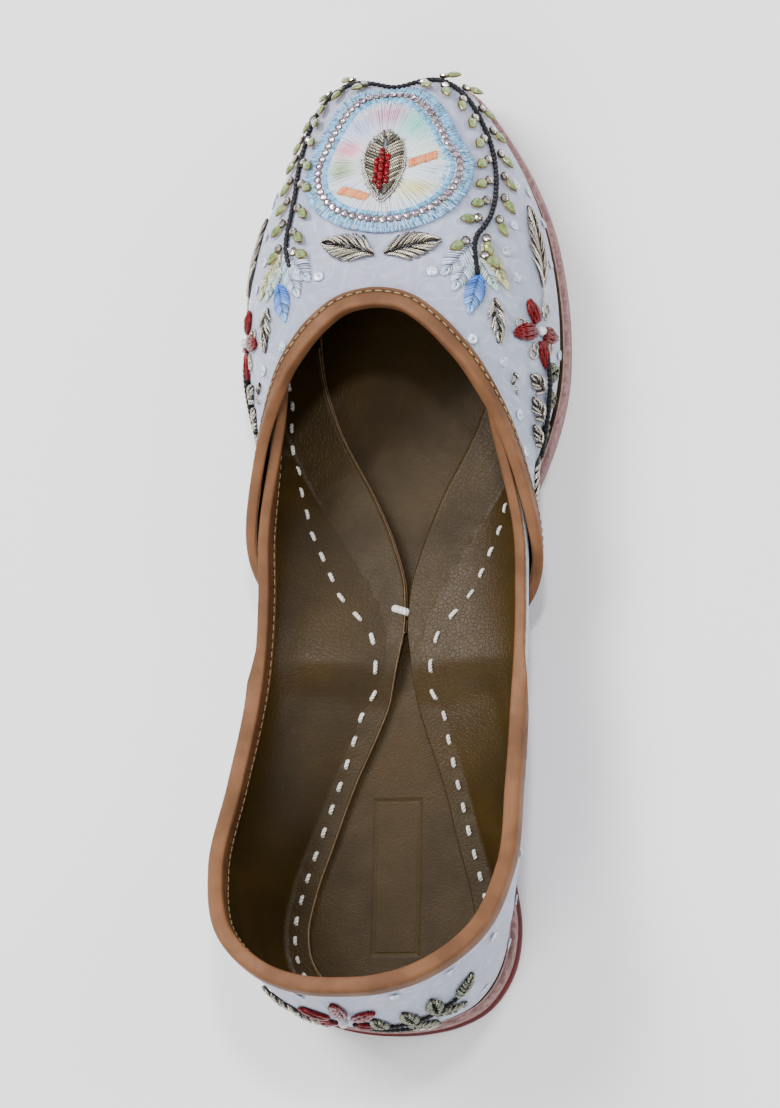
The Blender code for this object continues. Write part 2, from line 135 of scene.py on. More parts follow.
# The side rib by rib. place, top_half, top_along, top_height, low_out, low_up, high_out, high_up,
# flap: shares of HALF, LENGTH and BACK_HEIGHT, as in the solids' source.
RIBS = np.array([
    (0, 0, 0.732, 0.672, 0.019, 0.18, 0.66, -0.05, 0.33),
    (0.08, 0.17, 0.726, 0.68, 0.019, 0.18, 0.63, -0.05, 0.33),
    (0.16, 0.3, 0.711, 0.684, 0.019, 0.19, 0.54, -0.06, 0.36),
    (0.24, 0.425, 0.689, 0.672, 0.012, 0.19, 0.4, -0.09, 0.4),
    (0.32, 0.56, 0.655, 0.636, 0.006, 0.17, 0.22, -0.13, 0.44),
    (0.4, 0.715, 0.594, 0.552, 0.03, 0.15, 0.09, -0.16, 0.46),
    (0.48, 0.825, 0.513, 0.467, 0.215, 0.07, 0.04, -0.16, 0.46),
    (0.56, 0.838, 0.435, 0.435, 0.4, 0.05, 0.03, -0.16, 0.35),
    (0.6, 0.84, 0.386, 0.443, 0.47, 0.05, 0.03, -0.17, 0.23),
    (0.64, 0.845, 0.338, 0.475, 0.42, 0.06, 0.03, -0.2, 0.24),
    (0.72, 0.878, 0.241, 0.585, 0.25, 0.1, 0.05, -0.25, 0.23),
    (0.8, 0.9, 0.15, 0.733, 0.12, 0.15, 0.04, -0.3, 0.23),
    (0.86, 0.785, 0.085, 0.865, 0.085, 0.17, 0.07, -0.33, 0.22),
    (0.92, 0.485, 0.04, 0.965, 0.075, 0.17, 0.09, -0.36, 0.22),
    (0.96, 0.243, 0.026, 1, 0.07, 0.17, 0.1, -0.36, 0.22),
    (1, 0, 0.023, 1.005, 0.07, 0.17, 0.1, -0.36, 0.22)
])

# How far up the side each shell reaches, and how far the collar strip folds over. place, reach.
VAMP_EDGE = np.array([
    (0, 1), (0.43, 1), (0.47, 0.98), (0.5, 0.91), (0.53, 0.76), (0.56, 0.52), (0.585, 0.27)
])
QUARTER_EDGE = np.array([(0.3, 0.8), (0.36, 0.86), (0.42, 0.93), (0.47, 0.98), (0.52, 1), (1, 1)])
COLLAR_REACH = np.array([(0.3, 0), (0.6, 0), (0.66, 1), (1, 1)])
BEND = np.array([(0, 0), (0.15, 0.3), (0.4, 2.4), (0.6, 1.5), (0.75, 0.4), (1, 0)])

# Soft creases of the worn cloth and lining: place, row, heading in turns, length, width and depth
# in millimetres. Below 0 depth is a trough.
CREASES = np.array([
    (0.4, 0.62, 0.1, 16, 3, -0.35), (0.43, 0.55, 0.12, 18, 3.4, 0.3),
    (0.47, 0.5, 0.14, 15, 3, -0.3), (-0.41, 0.6, -0.1, 16, 3, -0.35),
    (-0.45, 0.52, -0.13, 17, 3.4, 0.3), (0.66, 0.45, 0.22, 14, 4, -0.35),
    (0.7, 0.5, 0.2, 18, 5, 0.35), (-0.67, 0.45, -0.22, 14, 4, -0.4),
    (-0.72, 0.5, -0.19, 20, 5, 0.35), (0.86, 0.55, 0.06, 20, 4, -0.4),
    (0.9, 0.45, 0.02, 16, 3.5, 0.3), (-0.88, 0.5, -0.05, 20, 4, -0.45),
    (-0.93, 0.6, 0, 15, 3.5, 0.3)
])

# The middle line of the stone chain round the medallion, flat, x to the right and y to the toe
RING = np.array([
    (-1, 23.6), (-6.4, 21.8), (-10.4, 17.6), (-13, 12.2), (-15.4, 6.4), (-17.2, 0.2), (-16.8, -6),
    (-14.4, -10.6), (-9.8, -14.2), (-4.2, -16), (1.4, -16.5), (6.8, -15.6), (11.6, -13.2),
    (15.2, -9.2), (17.2, -3.8), (16.8, 1.6), (14.2, 5.4), (12.2, 9.4), (9.6, 14), (6.4, 18.4),
    (3, 21.8)
])
MEDALLION_SEAT = (0.01, 0.56)

# The teardrop in the medallion's middle. turn: 0 to the toe, clockwise. radius in millimetres.
GEM_MIDDLE = np.array((-0.7, -1.2))
GEM = np.array([
    (0, 9.4), (0.14, 8), (0.28, 6.2), (0.42, 5.5), (0.56, 5.3), (0.72, 5.7), (0.86, 7.4), (1, 10.4)
])

# The two leaves below the medallion, flat: base and tip of the left one, then of the right
LEAF_ENDS = ((-2, -25.8), (-12.6, -20.2), (0.8, -25.8), (13.4, -20.6))

# Colours of the floss round the teardrop: middle x and y, reach across and along, red, green, blue
FLOSS_PATCHES = np.array([
    (-1, 15, 5.5, 3.6, 0.86, 0.44, 0.66), (6, 11.5, 4, 4.6, 0.3, 0.76, 0.7),
    (-10.2, 4.4, 3.6, 2.8, 0.88, 0.34, 0.42), (-11.4, -2, 3, 3.2, 0.36, 0.46, 0.28),
    (7.2, -7.8, 4.8, 2.2, 0.8, 0.76, 0.36), (-7.5, 10.5, 4, 4, 0.52, 0.62, 0.86),
    (10.5, -3.6, 3.2, 2.4, 0.72, 0.82, 0.95), (9, 4.2, 3.4, 2, 0.7, 0.84, 0.8),
    (-8.6, -6.4, 3.6, 2.2, 0.74, 0.78, 0.94)
])

# The black vines, from the notch of the toe back toward the throat. place, row.
RIGHT_VINE = np.array([
    (0, 0.105), (0.014, 0.1), (0.028, 0.11), (0.042, 0.13), (0.056, 0.155), (0.07, 0.19),
    (0.086, 0.235), (0.102, 0.29), (0.115, 0.365), (0.124, 0.445), (0.128, 0.525), (0.125, 0.595),
    (0.12, 0.65), (0.132, 0.695), (0.158, 0.73)
])
LEFT_VINE = np.array([
    (0, 0.105), (-0.018, 0.1), (-0.034, 0.11), (-0.048, 0.125), (-0.062, 0.15), (-0.072, 0.19),
    (-0.078, 0.27), (-0.08, 0.36), (-0.084, 0.44), (-0.087, 0.52), (-0.096, 0.585), (-0.114, 0.64),
    (-0.122, 0.69), (-0.124, 0.74)
])

# Leaves of one side: base place and row, tip place and row, width in millimetres, strokes, and
# how far each stroke leans toward the tip as a share of the leaf.
SILVER_LEAVES = np.array([
    (0.252, 0.3, 0.178, 0.235, 6.8, 9, 0.36), (0.206, 0.705, 0.272, 0.745, 4.4, 6, 0.34),
    (0.322, 0.68, 0.346, 0.69, 2.4, 3, 0.34), (0.352, 0.335, 0.332, 0.49, 5.8, 5, 0.4),
    (0.38, 0.305, 0.356, 0.47, 5.8, 5, 0.4), (0.404, 0.29, 0.384, 0.45, 5.4, 5, 0.4),
    (0.412, 0.215, 0.462, 0.56, 7.2, 11, 0.36)
])
OLIVE_LEAVES = np.array([
    (0.338, 0.26, 0.332, 0.12, 5, 8, 0.24), (0.364, 0.235, 0.356, 0.1, 5, 8, 0.24),
    (0.39, 0.215, 0.386, 0.085, 4.6, 7, 0.24)
])
FLOWER_STEMS = (
    np.array([(0.318, 0.335), (0.345, 0.28), (0.372, 0.25), (0.398, 0.235), (0.412, 0.25)]),
    np.array([(0.248, 0.295), (0.262, 0.315), (0.274, 0.345)])
)

# The flower's middle, where its loops point, and its red petals: base, tip and width as above
FLOWER_MIDDLE = (0.29, 0.385)
FLOWER_LOOPS = np.array([(0.252, 0.62), (0.318, 0.5), (0.318, 0.2), (0.268, 0.24)])
PETALS = np.array([
    (0.28, 0.405, 0.247, 0.475, 4.2), (0.286, 0.43, 0.272, 0.625, 4.6),
    (0.295, 0.345, 0.304, 0.15, 4.4), (0.3, 0.37, 0.33, 0.315, 4.2)
])

# Floss plumes below each vine: base, tip, width, and the two colours along it
PLUMES = np.array([
    (0.16, 0.722, 0.204, 0.84, 5, 0.04, 0.2, 0.8, 0.3, 0.55, 0.95),
    (0.134, 0.65, 0.21, 0.61, 4.6, 0.62, 0.64, 0.44, 0.66, 0.62, 0.34),
    (0.142, 0.69, 0.2, 0.676, 4, 0.62, 0.7, 0.7, 0.5, 0.7, 0.66),
    (0.122, 0.66, 0.106, 0.83, 7.2, 0.7, 0.74, 0.88, 0.62, 0.7, 0.9),
    (0.128, 0.7, 0.148, 0.84, 5.4, 0.56, 0.72, 0.84, 0.66, 0.78, 0.92)
])

# The heel's flower and branch, on the quarter
HEEL_MIDDLE = (1.02, 0.52)
HEEL_PETALS = np.array([
    (1.019, 0.59, 1.016, 0.82, 4.4), (1.009, 0.56, 0.984, 0.7, 4.4),
    (1.032, 0.55, 1.056, 0.66, 4.4), (1.03, 0.48, 1.048, 0.38, 4.2), (1.011, 0.47, 1, 0.4, 3.8)
])
HEEL_STEMS = (
    np.array([(1.014, 0.46), (1.006, 0.33), (0.99, 0.25), (0.972, 0.225)]),
    np.array([(1.008, 0.37), (0.984, 0.38), (0.96, 0.43), (0.938, 0.5), (0.918, 0.56)])
)
HEEL_LEAVES = np.array([
    (0.99, 0.375, 0.992, 0.56, 4.8, 8, 0.24), (0.962, 0.425, 0.962, 0.62, 4.8, 8, 0.24),
    (0.97, 0.4, 0.948, 0.27, 4.6, 8, 0.24), (0.94, 0.495, 0.934, 0.69, 4.8, 8, 0.24),
    (0.944, 0.48, 0.918, 0.4, 4.6, 8, 0.24), (0.918, 0.56, 0.896, 0.7, 5, 9, 0.22)
])
HEEL_SILVER = np.array([
    (1.044, 0.33, 1.078, 0.28, 5, 9, 0.22), (1.062, 0.47, 1.096, 0.56, 5, 9, 0.22),
    (0.972, 0.225, 0.95, 0.16, 4.4, 7, 0.24)
])

# Loose sequins on the vamp and the quarter. place, row.
VAMP_SEQUINS = np.array([
    (0.078, 0.85), (0.15, 0.26), (0.168, 0.15), (0.213, 0.53), (0.303, 0.74), (0.37, 0.7),
    (0.168, 0.43), (0.176, 0.545), (0.41, 0.74), (0.238, 0.11), (0.44, 0.42), (0.475, 0.66),
    (0.5, 0.4), (0.53, 0.35), (0.25, 0.88), (0.2, 0.06), (0.32, 0.05), (0.44, 0.13)
])
QUARTER_SEQUINS = np.array([
    (0.6, 0.3), (0.615, 0.72), (0.655, 0.48), (0.69, 0.2), (0.695, 0.78), (0.74, 0.52),
    (0.775, 0.26), (0.785, 0.8), (0.825, 0.55), (0.86, 0.3), (0.862, 0.8), (0.9, 0.32),
    (0.905, 0.86), (0.955, 0.86)
])

# How the row of stones beside each vine stands: distance from the vine, and from stone to drop
STONE_AWAY = 2.5
DROP_AWAY = 2.4


def curve_through(at, knots, values):
    """A smooth curve through rows of values: cubic between rows, each row's slope the weighted
    mean of the slopes to its neighbours."""
    step = np.diff(knots)
    rate = np.diff(values, axis=0) / step[:, None]
    slope = np.empty_like(values)
    slope[0] = rate[0]
    slope[-1] = rate[-1]
    near = step[1:, None] * rate[:-1] + step[:-1, None] * rate[1:]
    slope[1:-1] = near / (step[1:] + step[:-1])[:, None]
    at = np.clip(at, knots[0], knots[-1])
    row = np.clip(np.searchsorted(knots, at, side="right") - 1, 0, len(step) - 1)
    t = ((at - knots[row]) / step[row])[:, None]
    width = step[row][:, None]
    start = (2 * t**3 - 3 * t**2 + 1) * values[row]
    leave = (t**3 - 2 * t**2 + t) * width * slope[row]
    end = (3 * t**2 - 2 * t**3) * values[row + 1]
    arrive = (t**3 - t**2) * width * slope[row + 1]
    return start + leave + end + arrive


def way_along(points):
    """The way gone along a path at each of its points."""
    return np.concatenate([[0], np.cumsum(np.linalg.norm(np.diff(points, axis=0), axis=1))])


def table_at(at, table):
    """One column of a table, read smoothly."""
    return curve_through(np.abs(at), table[:, 0], table[:, 1:2])[:, 0]


def reach_at(place, table):
    """How far up the side a shell reaches at each place, between 0 and 1."""
    return np.clip(table_at(wrapped(place), table), 0.0, 1.0)


def both_sides(place, rows):
    """Rows over place 0 to 1, mirrored past both ends. The first value changes sign at 0 and 1."""
    rows = np.vstack([rows[3:0:-1], rows, rows[-2:-5:-1]])
    rows[:3, :2] *= -1
    rows[-3:, 0] = 2 - rows[-3:, 0]
    rows[-3:, 1] *= -1
    found = curve_through(np.abs(place), rows[:, 0], rows[:, 1:])
    found[:, 0] *= np.where(place < 0, -1, 1)
    return found


def measured_outline():
    """The sole's outline as x and y over the share of the way round it."""
    x = OUTLINE[:, 1] * HALF
    y = (OUTLINE[:, 0] - 0.5) * LENGTH
    way = way_along(np.column_stack([x, y]))
    rows = np.column_stack([way / way[-1], x, y])
    fine = both_sides(np.linspace(0, 1, 2001), rows)
    way = way_along(fine)
    return way / way[-1], fine, way[-1]


WAY, FINE, HALF_ROUND = measured_outline()


def wrapped(place):
    """A place past the middle of the heel or the toe, counted on the other side."""
    return (np.asarray(place) + 1) % 2 - 1


def outline(place):
    """The sole's outline at each place, x and y."""
    share = np.abs(place)
    x = np.sign(place) * np.interp(share, WAY, FINE[:, 0])
    return np.column_stack([x, np.interp(share, WAY, FINE[:, 1])])


def outward(place):
    """The level direction out of the outline: its tangent turned a quarter turn."""
    step = 0.004
    ahead = outline(wrapped(place + step)) - outline(wrapped(place - step))
    ahead /= np.hypot(*ahead.T)[:, None]
    return np.column_stack([-ahead[:, 1], ahead[:, 0]])


def eased(share):
    """0 to 1 with a level start and end: 3 s squared minus 2 s cubed."""
    share = np.clip(share, 0, 1)
    return share * share * (3 - 2 * share)


def under_sole(y):
    """Height of the outsole's underside: a parabola up to the toe, an eased step at the heel lift
    and a squared sine between them."""
    along = y / LENGTH + 0.5
    spring = TOE_SPRING * np.clip((along - 0.84) / 0.16, 0, None) ** 2
    step = (HEEL_LIFT + GAP) * eased((0.5 - along) / 0.28)
    hump = ARCH * np.sin(np.pi * np.clip((along - 0.22) / 0.3, 0, 1)) ** 2
    return spring + step + hump


def slant(y):
    """How much taller a layer measures on a slope: one over the cosine of its angle."""
    step = 0.5 * MM
    slope = (under_sole(y + step) - under_sole(y - step)) / (2 * step)
    return np.sqrt(1 + slope * slope)


def flap_floor(y):
    """The height that the quarter's turned-in flap lies at."""
    along = y / LENGTH + 0.5
    layers = SOLE + GAP + INSOLE + FLAP_GAP + LAP * eased((along - 0.33) / 0.05)
    return under_sole(y) + layers * slant(y)


def last(place, row):
    """The last's face. Rows -2 to -1 run level inward, -1 to 0 turn through part of a circle, and
    0 to 1 climb a cubic Bezier curve from the foot to the top line."""
    place, row = np.broadcast_arrays(np.asarray(place, float), np.asarray(row, float))
    rib = both_sides(place, RIBS)
    n = outward(place)
    edge = outline(place)
    inset = FOOT_INSET + LAP * eased((edge[:, 1] / LENGTH + 0.5 - 0.33) / 0.05)
    steep = np.arctan2(rib[:, 4] * BACK_HEIGHT, rib[:, 3] * HALF)
    angle = steep * np.clip(row + 1, 0, 1)
    turn_in = inset + TURN * (1 - np.sin(angle))
    flap_in = inset + TURN + (rib[:, 7] * HALF - inset - TURN) * np.clip(-1 - row, 0, 1)
    back = np.where(row < -1, flap_in, turn_in)
    level = edge - n * back[:, None]
    height = flap_floor(level[:, 1]) + np.where(row < -1, 0, TURN * (1 - np.cos(angle)))
    foot = np.column_stack([level, height])
    out = np.column_stack([n, np.zeros(len(n))])
    up = np.array([0.0, 0.0, 1.0])
    top = np.column_stack([rib[:, 0] * HALF, (rib[:, 1] - 0.5) * LENGTH, rib[:, 2] * BACK_HEIGHT])
    low = foot + out * rib[:, 3:4] * HALF + up * rib[:, 4:5] * BACK_HEIGHT
    high = top + out * rib[:, 5:6] * HALF + up * rib[:, 6:7] * BACK_HEIGHT
    t = np.clip(row, 0, 1)[:, None]
    return (1 - t) ** 3 * foot + 3 * (1 - t) ** 2 * t * low + 3 * (1 - t) * t**2 * high + t**3 * top


def slopes(place, row):
    """How the last's face moves with place and with row, by small differences."""
    d = 0.003
    by_place = (last(wrapped(place + d), row) - last(wrapped(place - d), row)) / (2 * d)
    above = np.minimum(row + d, 1.0)
    below = np.maximum(row - d, -2.0)
    by_row = (last(place, above) - last(place, below)) / (above - below)[:, None]
    return by_place, by_row


def facing(place, row):
    """The direction out of the last's face: the cross product of its two slopes."""
    by_place, by_row = slopes(place, row)
    out = np.cross(by_row, by_place)
    return out / np.linalg.norm(out, axis=1)[:, None]


def over_last(place, row, off):
    """Points that far outside the last's face."""
    return last(place, row) + facing(place, row) * np.asarray(off)[..., None]


def walked(place, row, way, steps=8):
    """The place and row reached by going that way along the face: at each short step the way is
    solved for its two shares of the slopes, and kept at its length."""
    place = np.array(place, float)
    row = np.array(row, float)
    for _ in range(steps):
        by_place, by_row = slopes(place, row)
        a = (by_place**2).sum(1)
        b = (by_place * by_row).sum(1)
        c = (by_row**2).sum(1)
        e = (by_place * way).sum(1) / steps
        f = (by_row * way).sum(1) / steps
        det = a * c - b * b
        more_place = (c * e - b * f) / det
        more_row = (a * f - b * e) / det
        moved = by_place * more_place[:, None] + by_row * more_row[:, None]
        full = np.linalg.norm(way, axis=1) / steps
        scale = full / np.maximum(np.linalg.norm(moved, axis=1), 1e-9)
        place = wrapped(place + more_place * scale)
        row = np.clip(row + more_row * scale, 0.0, 1.0)
    return place, row


def bent(points):
    """The last's sideways bend and the toe's notch, a bell curve across, given to every piece."""
    points = np.array(points, float)
    along = np.clip(points[..., 1] / LENGTH + 0.5, 0, 1)
    flat = along.reshape(-1)
    shift = curve_through(flat, BEND[:, 0], BEND[:, 1:2])[:, 0].reshape(along.shape)
    near_toe = eased((points[..., 1] - (LENGTH / 2 - NOTCH_REACH)) / NOTCH_REACH)
    dip = NOTCH * np.exp(-((points[..., 0] / NOTCH_HALF) ** 2)) * near_toe
    points[..., 0] += shift * MM
    points[..., 1] -= dip
    return points


def unit(vectors):
    """Vectors at length 1."""
    return vectors / np.maximum(np.linalg.norm(vectors, axis=-1, keepdims=True), 1e-12)


def scattered(count, seed, low=-1.0, high=1.0):
    """A fixed list of uneven numbers, the same on every run."""
    return np.random.default_rng(seed).uniform(low, high, count)


def mottled(colour, count, seed, by, more=0.0):
    """A colour for each copy, lighter or darker than the one given by up to a share."""
    light = 1 + by * scattered(count, seed)[:, None]
    return np.clip(np.array(colour) * light + more, 0, 1)


def between(first, second, share):
    """The first value at a share of 0 and the second at 1."""
    return first * (1 - share) + second * share


class Heap:
    """The points, faces, tints and flat coordinates of one piece, gathered from several shapes."""

    def __init__(self):
        self.points, self.faces, self.finish = [], [], []
        self.tints, self.flat, self.edge = [], [], []
        self.count = 0

    def add(self, points, faces, tint=(1.0, 1.0, 1.0), flat=None, edge=0.0, finish=0):
        """Takes in a shape. faces: arrays of corner numbers, each of one corner count. finish: one
        number, or one array of numbers per array of faces."""
        points = np.asarray(points, float).reshape(-1, 3)
        size = len(points)
        self.points.append(points)
        self.tints.append(np.broadcast_to(np.asarray(tint, float), (size, 3)))
        self.flat.append(np.zeros((size, 2)) if flat is None else np.asarray(flat).reshape(-1, 2))
        self.edge.append(np.broadcast_to(np.asarray(edge, float), (size,)))
        for i, some in enumerate(faces):
            self.faces.append(np.asarray(some) + self.count)
            mark = finish[i] if isinstance(finish, (list, tuple)) else finish
            self.finish.append(np.broadcast_to(np.asarray(mark), (len(some),)))
        self.count += size

    def piece(self, name, finishes, slot="beadwork", node=None, smooth=True):
        """The mesh object, riding with the shoe, standing for the CAD node that is named."""
        mesh = bpy.data.meshes.new(name)
        corners = np.concatenate([some.reshape(-1) for some in self.faces]).astype(np.int32)
        sizes = np.concatenate([np.full(len(some), some.shape[1]) for some in self.faces])
        points = bent(np.concatenate(self.points)).astype(np.float32)
        mesh.vertices.add(len(points))
        mesh.vertices.foreach_set("co", points.ravel())
        mesh.loops.add(len(corners))
        mesh.loops.foreach_set("vertex_index", corners)
        mesh.polygons.add(len(sizes))
        mesh.polygons.foreach_set("loop_start", (np.cumsum(sizes) - sizes).astype(np.int32))
        for finish in finishes:
            mesh.materials.append(material(finish))
        marks = np.concatenate(self.finish).astype(np.int32)
        mesh.polygons.foreach_set("material_index", marks)
        mesh.polygons.foreach_set("use_smooth", np.full(len(sizes), smooth))
        tints = np.ones((len(points), 4), np.float32)
        tints[:, :3] = np.concatenate(self.tints)
        mesh.attributes.new("tint", "FLOAT_COLOR", "POINT").data.foreach_set("color", tints.ravel())
        edge = np.concatenate(self.edge).astype(np.float32)
        mesh.attributes.new("edge", "FLOAT", "POINT").data.foreach_set("value", edge)
        flat = np.concatenate(self.flat)[corners].astype(np.float32)
        mesh.uv_layers.new(name="UVMap").data.foreach_set("uv", flat.ravel())
        mesh.update(calc_edges=True)
        mesh.validate()
        obj = bpy.data.objects.new(name, mesh)
        bpy.context.scene.collection.objects.link(obj)
        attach(obj, "root")
        if node:
            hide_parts(node)


def turned_out(points, faces):
    """The faces of a closed shape, turned round where the sum of its corner products is below 0."""
    total = 0.0
    for some in faces:
        for k in range(1, some.shape[1] - 1):
            a, b, c = points[some[:, 0]], points[some[:, k]], points[some[:, k + 1]]
            total += (a * np.cross(b, c)).sum()
    return faces if total > 0 else [some[:, ::-1] for some in faces]


def lattice(rows, across, closed):
    """Quads of a grid of points, rows by across, the last column joined to the first if closed."""
    i = np.repeat(np.arange(rows - 1), across - (not closed))
    j = np.tile(np.arange(across - (not closed)), rows - 1)
    k = (j + 1) % across
    return np.column_stack([
        i * across + j, i * across + k, (i + 1) * across + k, (i + 1) * across + j
    ])


def capped(points, rings, count):
    """Faces of rings of points one after another, with a face across each end, turned outward."""
    ends = np.array([np.arange(count)[::-1], (rings - 1) * count + np.arange(count)])
    return turned_out(points, [lattice(rings, count, True), ends])


def tubes(heap, centres, outs, radii, sides=6, low=1.0, tint=(1.0, 1.0, 1.0)):
    """Round profiles carried along paths laid on a surface: the point at angle a is the centre
    plus r cos a to the side plus low r sin a outward. centres: paths by points by 3."""
    count, steps = centres.shape[:2]
    ahead = unit(np.gradient(centres, axis=1))
    side = unit(np.cross(ahead, outs))
    out = unit(np.cross(side, ahead))
    angle = (np.arange(sides) / sides - 0.25) * 2 * np.pi
    radii = np.broadcast_to(radii, (count, steps))[..., None, None]
    ring = np.cos(angle)[:, None] * side[
        :, :, None
    ] + low * np.sin(angle)[:, None] * out[:, :, None]
    points = centres[:, :, None] + radii * ring
    one = lattice(steps, sides, True)
    caps = np.array([np.arange(sides)[::-1], (steps - 1) * sides + np.arange(sides)])
    jump = np.arange(count)[:, None, None] * steps * sides
    quads = (one[None] + jump).reshape(-1, 4)
    ends = (caps[None] + jump).reshape(-1, sides)
    length = np.cumsum(np.linalg.norm(np.diff(centres, axis=1, prepend=centres[:, :1]), axis=2), 1)
    flat = np.empty((count, steps, sides, 2))
    flat[..., 0] = length[:, :, None] / MM
    flat[..., 1] = np.arange(sides) / sides
    tint = np.asarray(tint, float)
    if tint.ndim == 2:
        tint = tint[:, None, None]
    elif tint.ndim == 3:
        tint = tint[:, :, None]
    tint = np.broadcast_to(tint, points.shape).reshape(-1, 3)
    heap.add(points, [quads[:, ::-1], ends[:, ::-1]], tint, flat)


def turned(profile, sides, start=0.0):
    """A shape of revolution about z from radius, height pairs, closed by a face at each end."""
    angle = (np.arange(sides) + start) / sides * 2 * np.pi
    profile = np.asarray(profile, float)
    points = np.empty((len(profile), sides, 3))
    points[..., 0] = profile[:, :1] * np.cos(angle)
    points[..., 1] = profile[:, :1] * np.sin(angle)
    points[..., 2] = profile[:, 1:2]
    points = points.reshape(-1, 3)
    return points, capped(points, len(profile), sides)


def repeated(heap, shape, origins, axes, sizes, tint=(1.0, 1.0, 1.0), finish=0):
    """Copies of a small shape: each point goes to the origin plus its three coordinates, times the
    three sizes, along the three axes."""
    points, faces = shape
    sizes = np.broadcast_to(np.asarray(sizes, float), (len(origins), 3))
    placed = origins[:, None] + np.einsum("mk,nk,nkc->nmc", points, sizes, axes)
    jump = (np.arange(len(origins)) * len(points))[:, None, None]
    copies = [(some[None] + jump).reshape(-1, some.shape[1]) for some in faces]
    tint = np.asarray(tint, float)
    if tint.ndim == 2:
        tint = np.repeat(tint, len(points), axis=0)
    heap.add(placed, copies, tint, finish=finish)


def seat(base, tip, off):
    """A spot on the last with its level axes: y toward the tip, x to its right, seen from outside,
    and the distance to the tip in millimetres."""
    ends = np.array([base, tip], float)
    ends[:, 0] = wrapped(ends[:, 0])
    points = over_last(ends[:, 0], ends[:, 1], np.full(2, off))
    out = facing(ends[:1, 0], ends[:1, 1])[0]
    ahead = points[1] - points[0]
    length = np.linalg.norm(ahead) / MM
    ahead = unit(ahead - out * (ahead @ out))
    return ends[0], np.cross(ahead, out), ahead, length


def laid(spot, flat, lift, off, steps=4):
    """Flat millimetre coordinates laid on the last from a spot: each point walks its x and y along
    the surface and stands its lift outside it. Gives the points and the directions outward."""
    start, x_axis, y_axis = spot
    shape = flat.shape[:-1]
    flat = flat.reshape(-1, 2) * MM
    way = flat[:, :1] * x_axis + flat[:, 1:] * y_axis
    place, row = walked(np.full(len(way), start[0]), np.full(len(way), start[1]), way, steps)
    out = facing(place, row)
    height = off + np.broadcast_to(lift, shape).reshape(-1) * MM
    points = last(place, row) + out * height[:, None]
    return points.reshape(*shape, 3), out.reshape(*shape, 3)


def creased(place, row):
    """Height of the listed creases: each is its depth times a bell curve across and a wider bell
    curve along its heading."""
    total = np.zeros(len(place))
    for at, up, heading, length, width, depth in CREASES:
        x = (place - at) * HALF_ROUND / MM
        y = (row - up) * SIDE_CLIMB
        along = x * np.sin(heading * 2 * np.pi) + y * np.cos(heading * 2 * np.pi)
        across = x * np.cos(heading * 2 * np.pi) - y * np.sin(heading * 2 * np.pi)
        total += depth * np.exp(-((across / width) ** 2) - (along / length) ** 2)
    return total * MM


# Materials


class Nodes:
    """A shader tree, with a short call for each kind of node that the finishes use."""

    def __init__(self, tree):
        self.tree = tree

    def feed(self, socket, value):
        """A socket linked to another or set to a value. A colour takes its alpha here."""
        if isinstance(value, bpy.types.NodeSocket):
            self.tree.links.new(value, socket)
        else:
            socket.default_value = (*value, 1.0)[:4] if socket.type == "RGBA" else value

    def put(self, kind, sockets=None, **settings):
        """A shader node, its settings and then its sockets."""
        made = self.tree.nodes.new("ShaderNode" + kind)
        for name, value in settings.items():
            setattr(made, name, value)
        for name, value in (sockets or {}).items():
            self.feed(made.inputs[name], value)
        return made

    def maths(self, operation, first, second=0.0, third=0.0):
        """One sum on values."""
        return self.put("Math", {0: first, 1: second, 2: third}, operation=operation).outputs[0]

    def vectors(self, operation, first, second=(0.0, 0.0, 0.0)):
        """One sum on vectors."""
        return self.put("VectorMath", {0: first, 1: second}, operation=operation).outputs[0]

    def apart(self, first, second):
        """The distance that two values at right angles make."""
        squares = self.maths("MULTIPLY_ADD", first, first, self.maths("MULTIPLY", second, second))
        return self.maths("SQRT", squares)

    def split(self, vector):
        """A vector's three values."""
        return self.put("SeparateXYZ", {0: vector}).outputs

    def ramp(self, value, low, high, to_low=0.0, to_high=1.0):
        """A value read from one range into another, smoothly."""
        names = ("Value", "From Min", "From Max", "To Min", "To Max")
        sockets = dict(zip(names, (value, low, high, to_low, to_high)))
        return self.put("MapRange", sockets, interpolation_type="SMOOTHSTEP").outputs[0]

    def mix(self, share, first, second, mode="MIX"):
        """Two colours mixed by a share."""
        sockets = {0: share, 6: first, 7: second}
        return self.put("Mix", sockets, data_type="RGBA", blend_type=mode).outputs[2]

    def noise(self, scale, detail, vector):
        """Noise over a vector."""
        return self.put("TexNoise", {"Vector": vector, "Scale": scale, "Detail": detail}).outputs[0]

    def group(self, name, vector, **values):
        """A shared effect's outputs, over a vector."""
        return self.put("Group", {"Vector": vector, **values}, node_tree=shared(name)).outputs


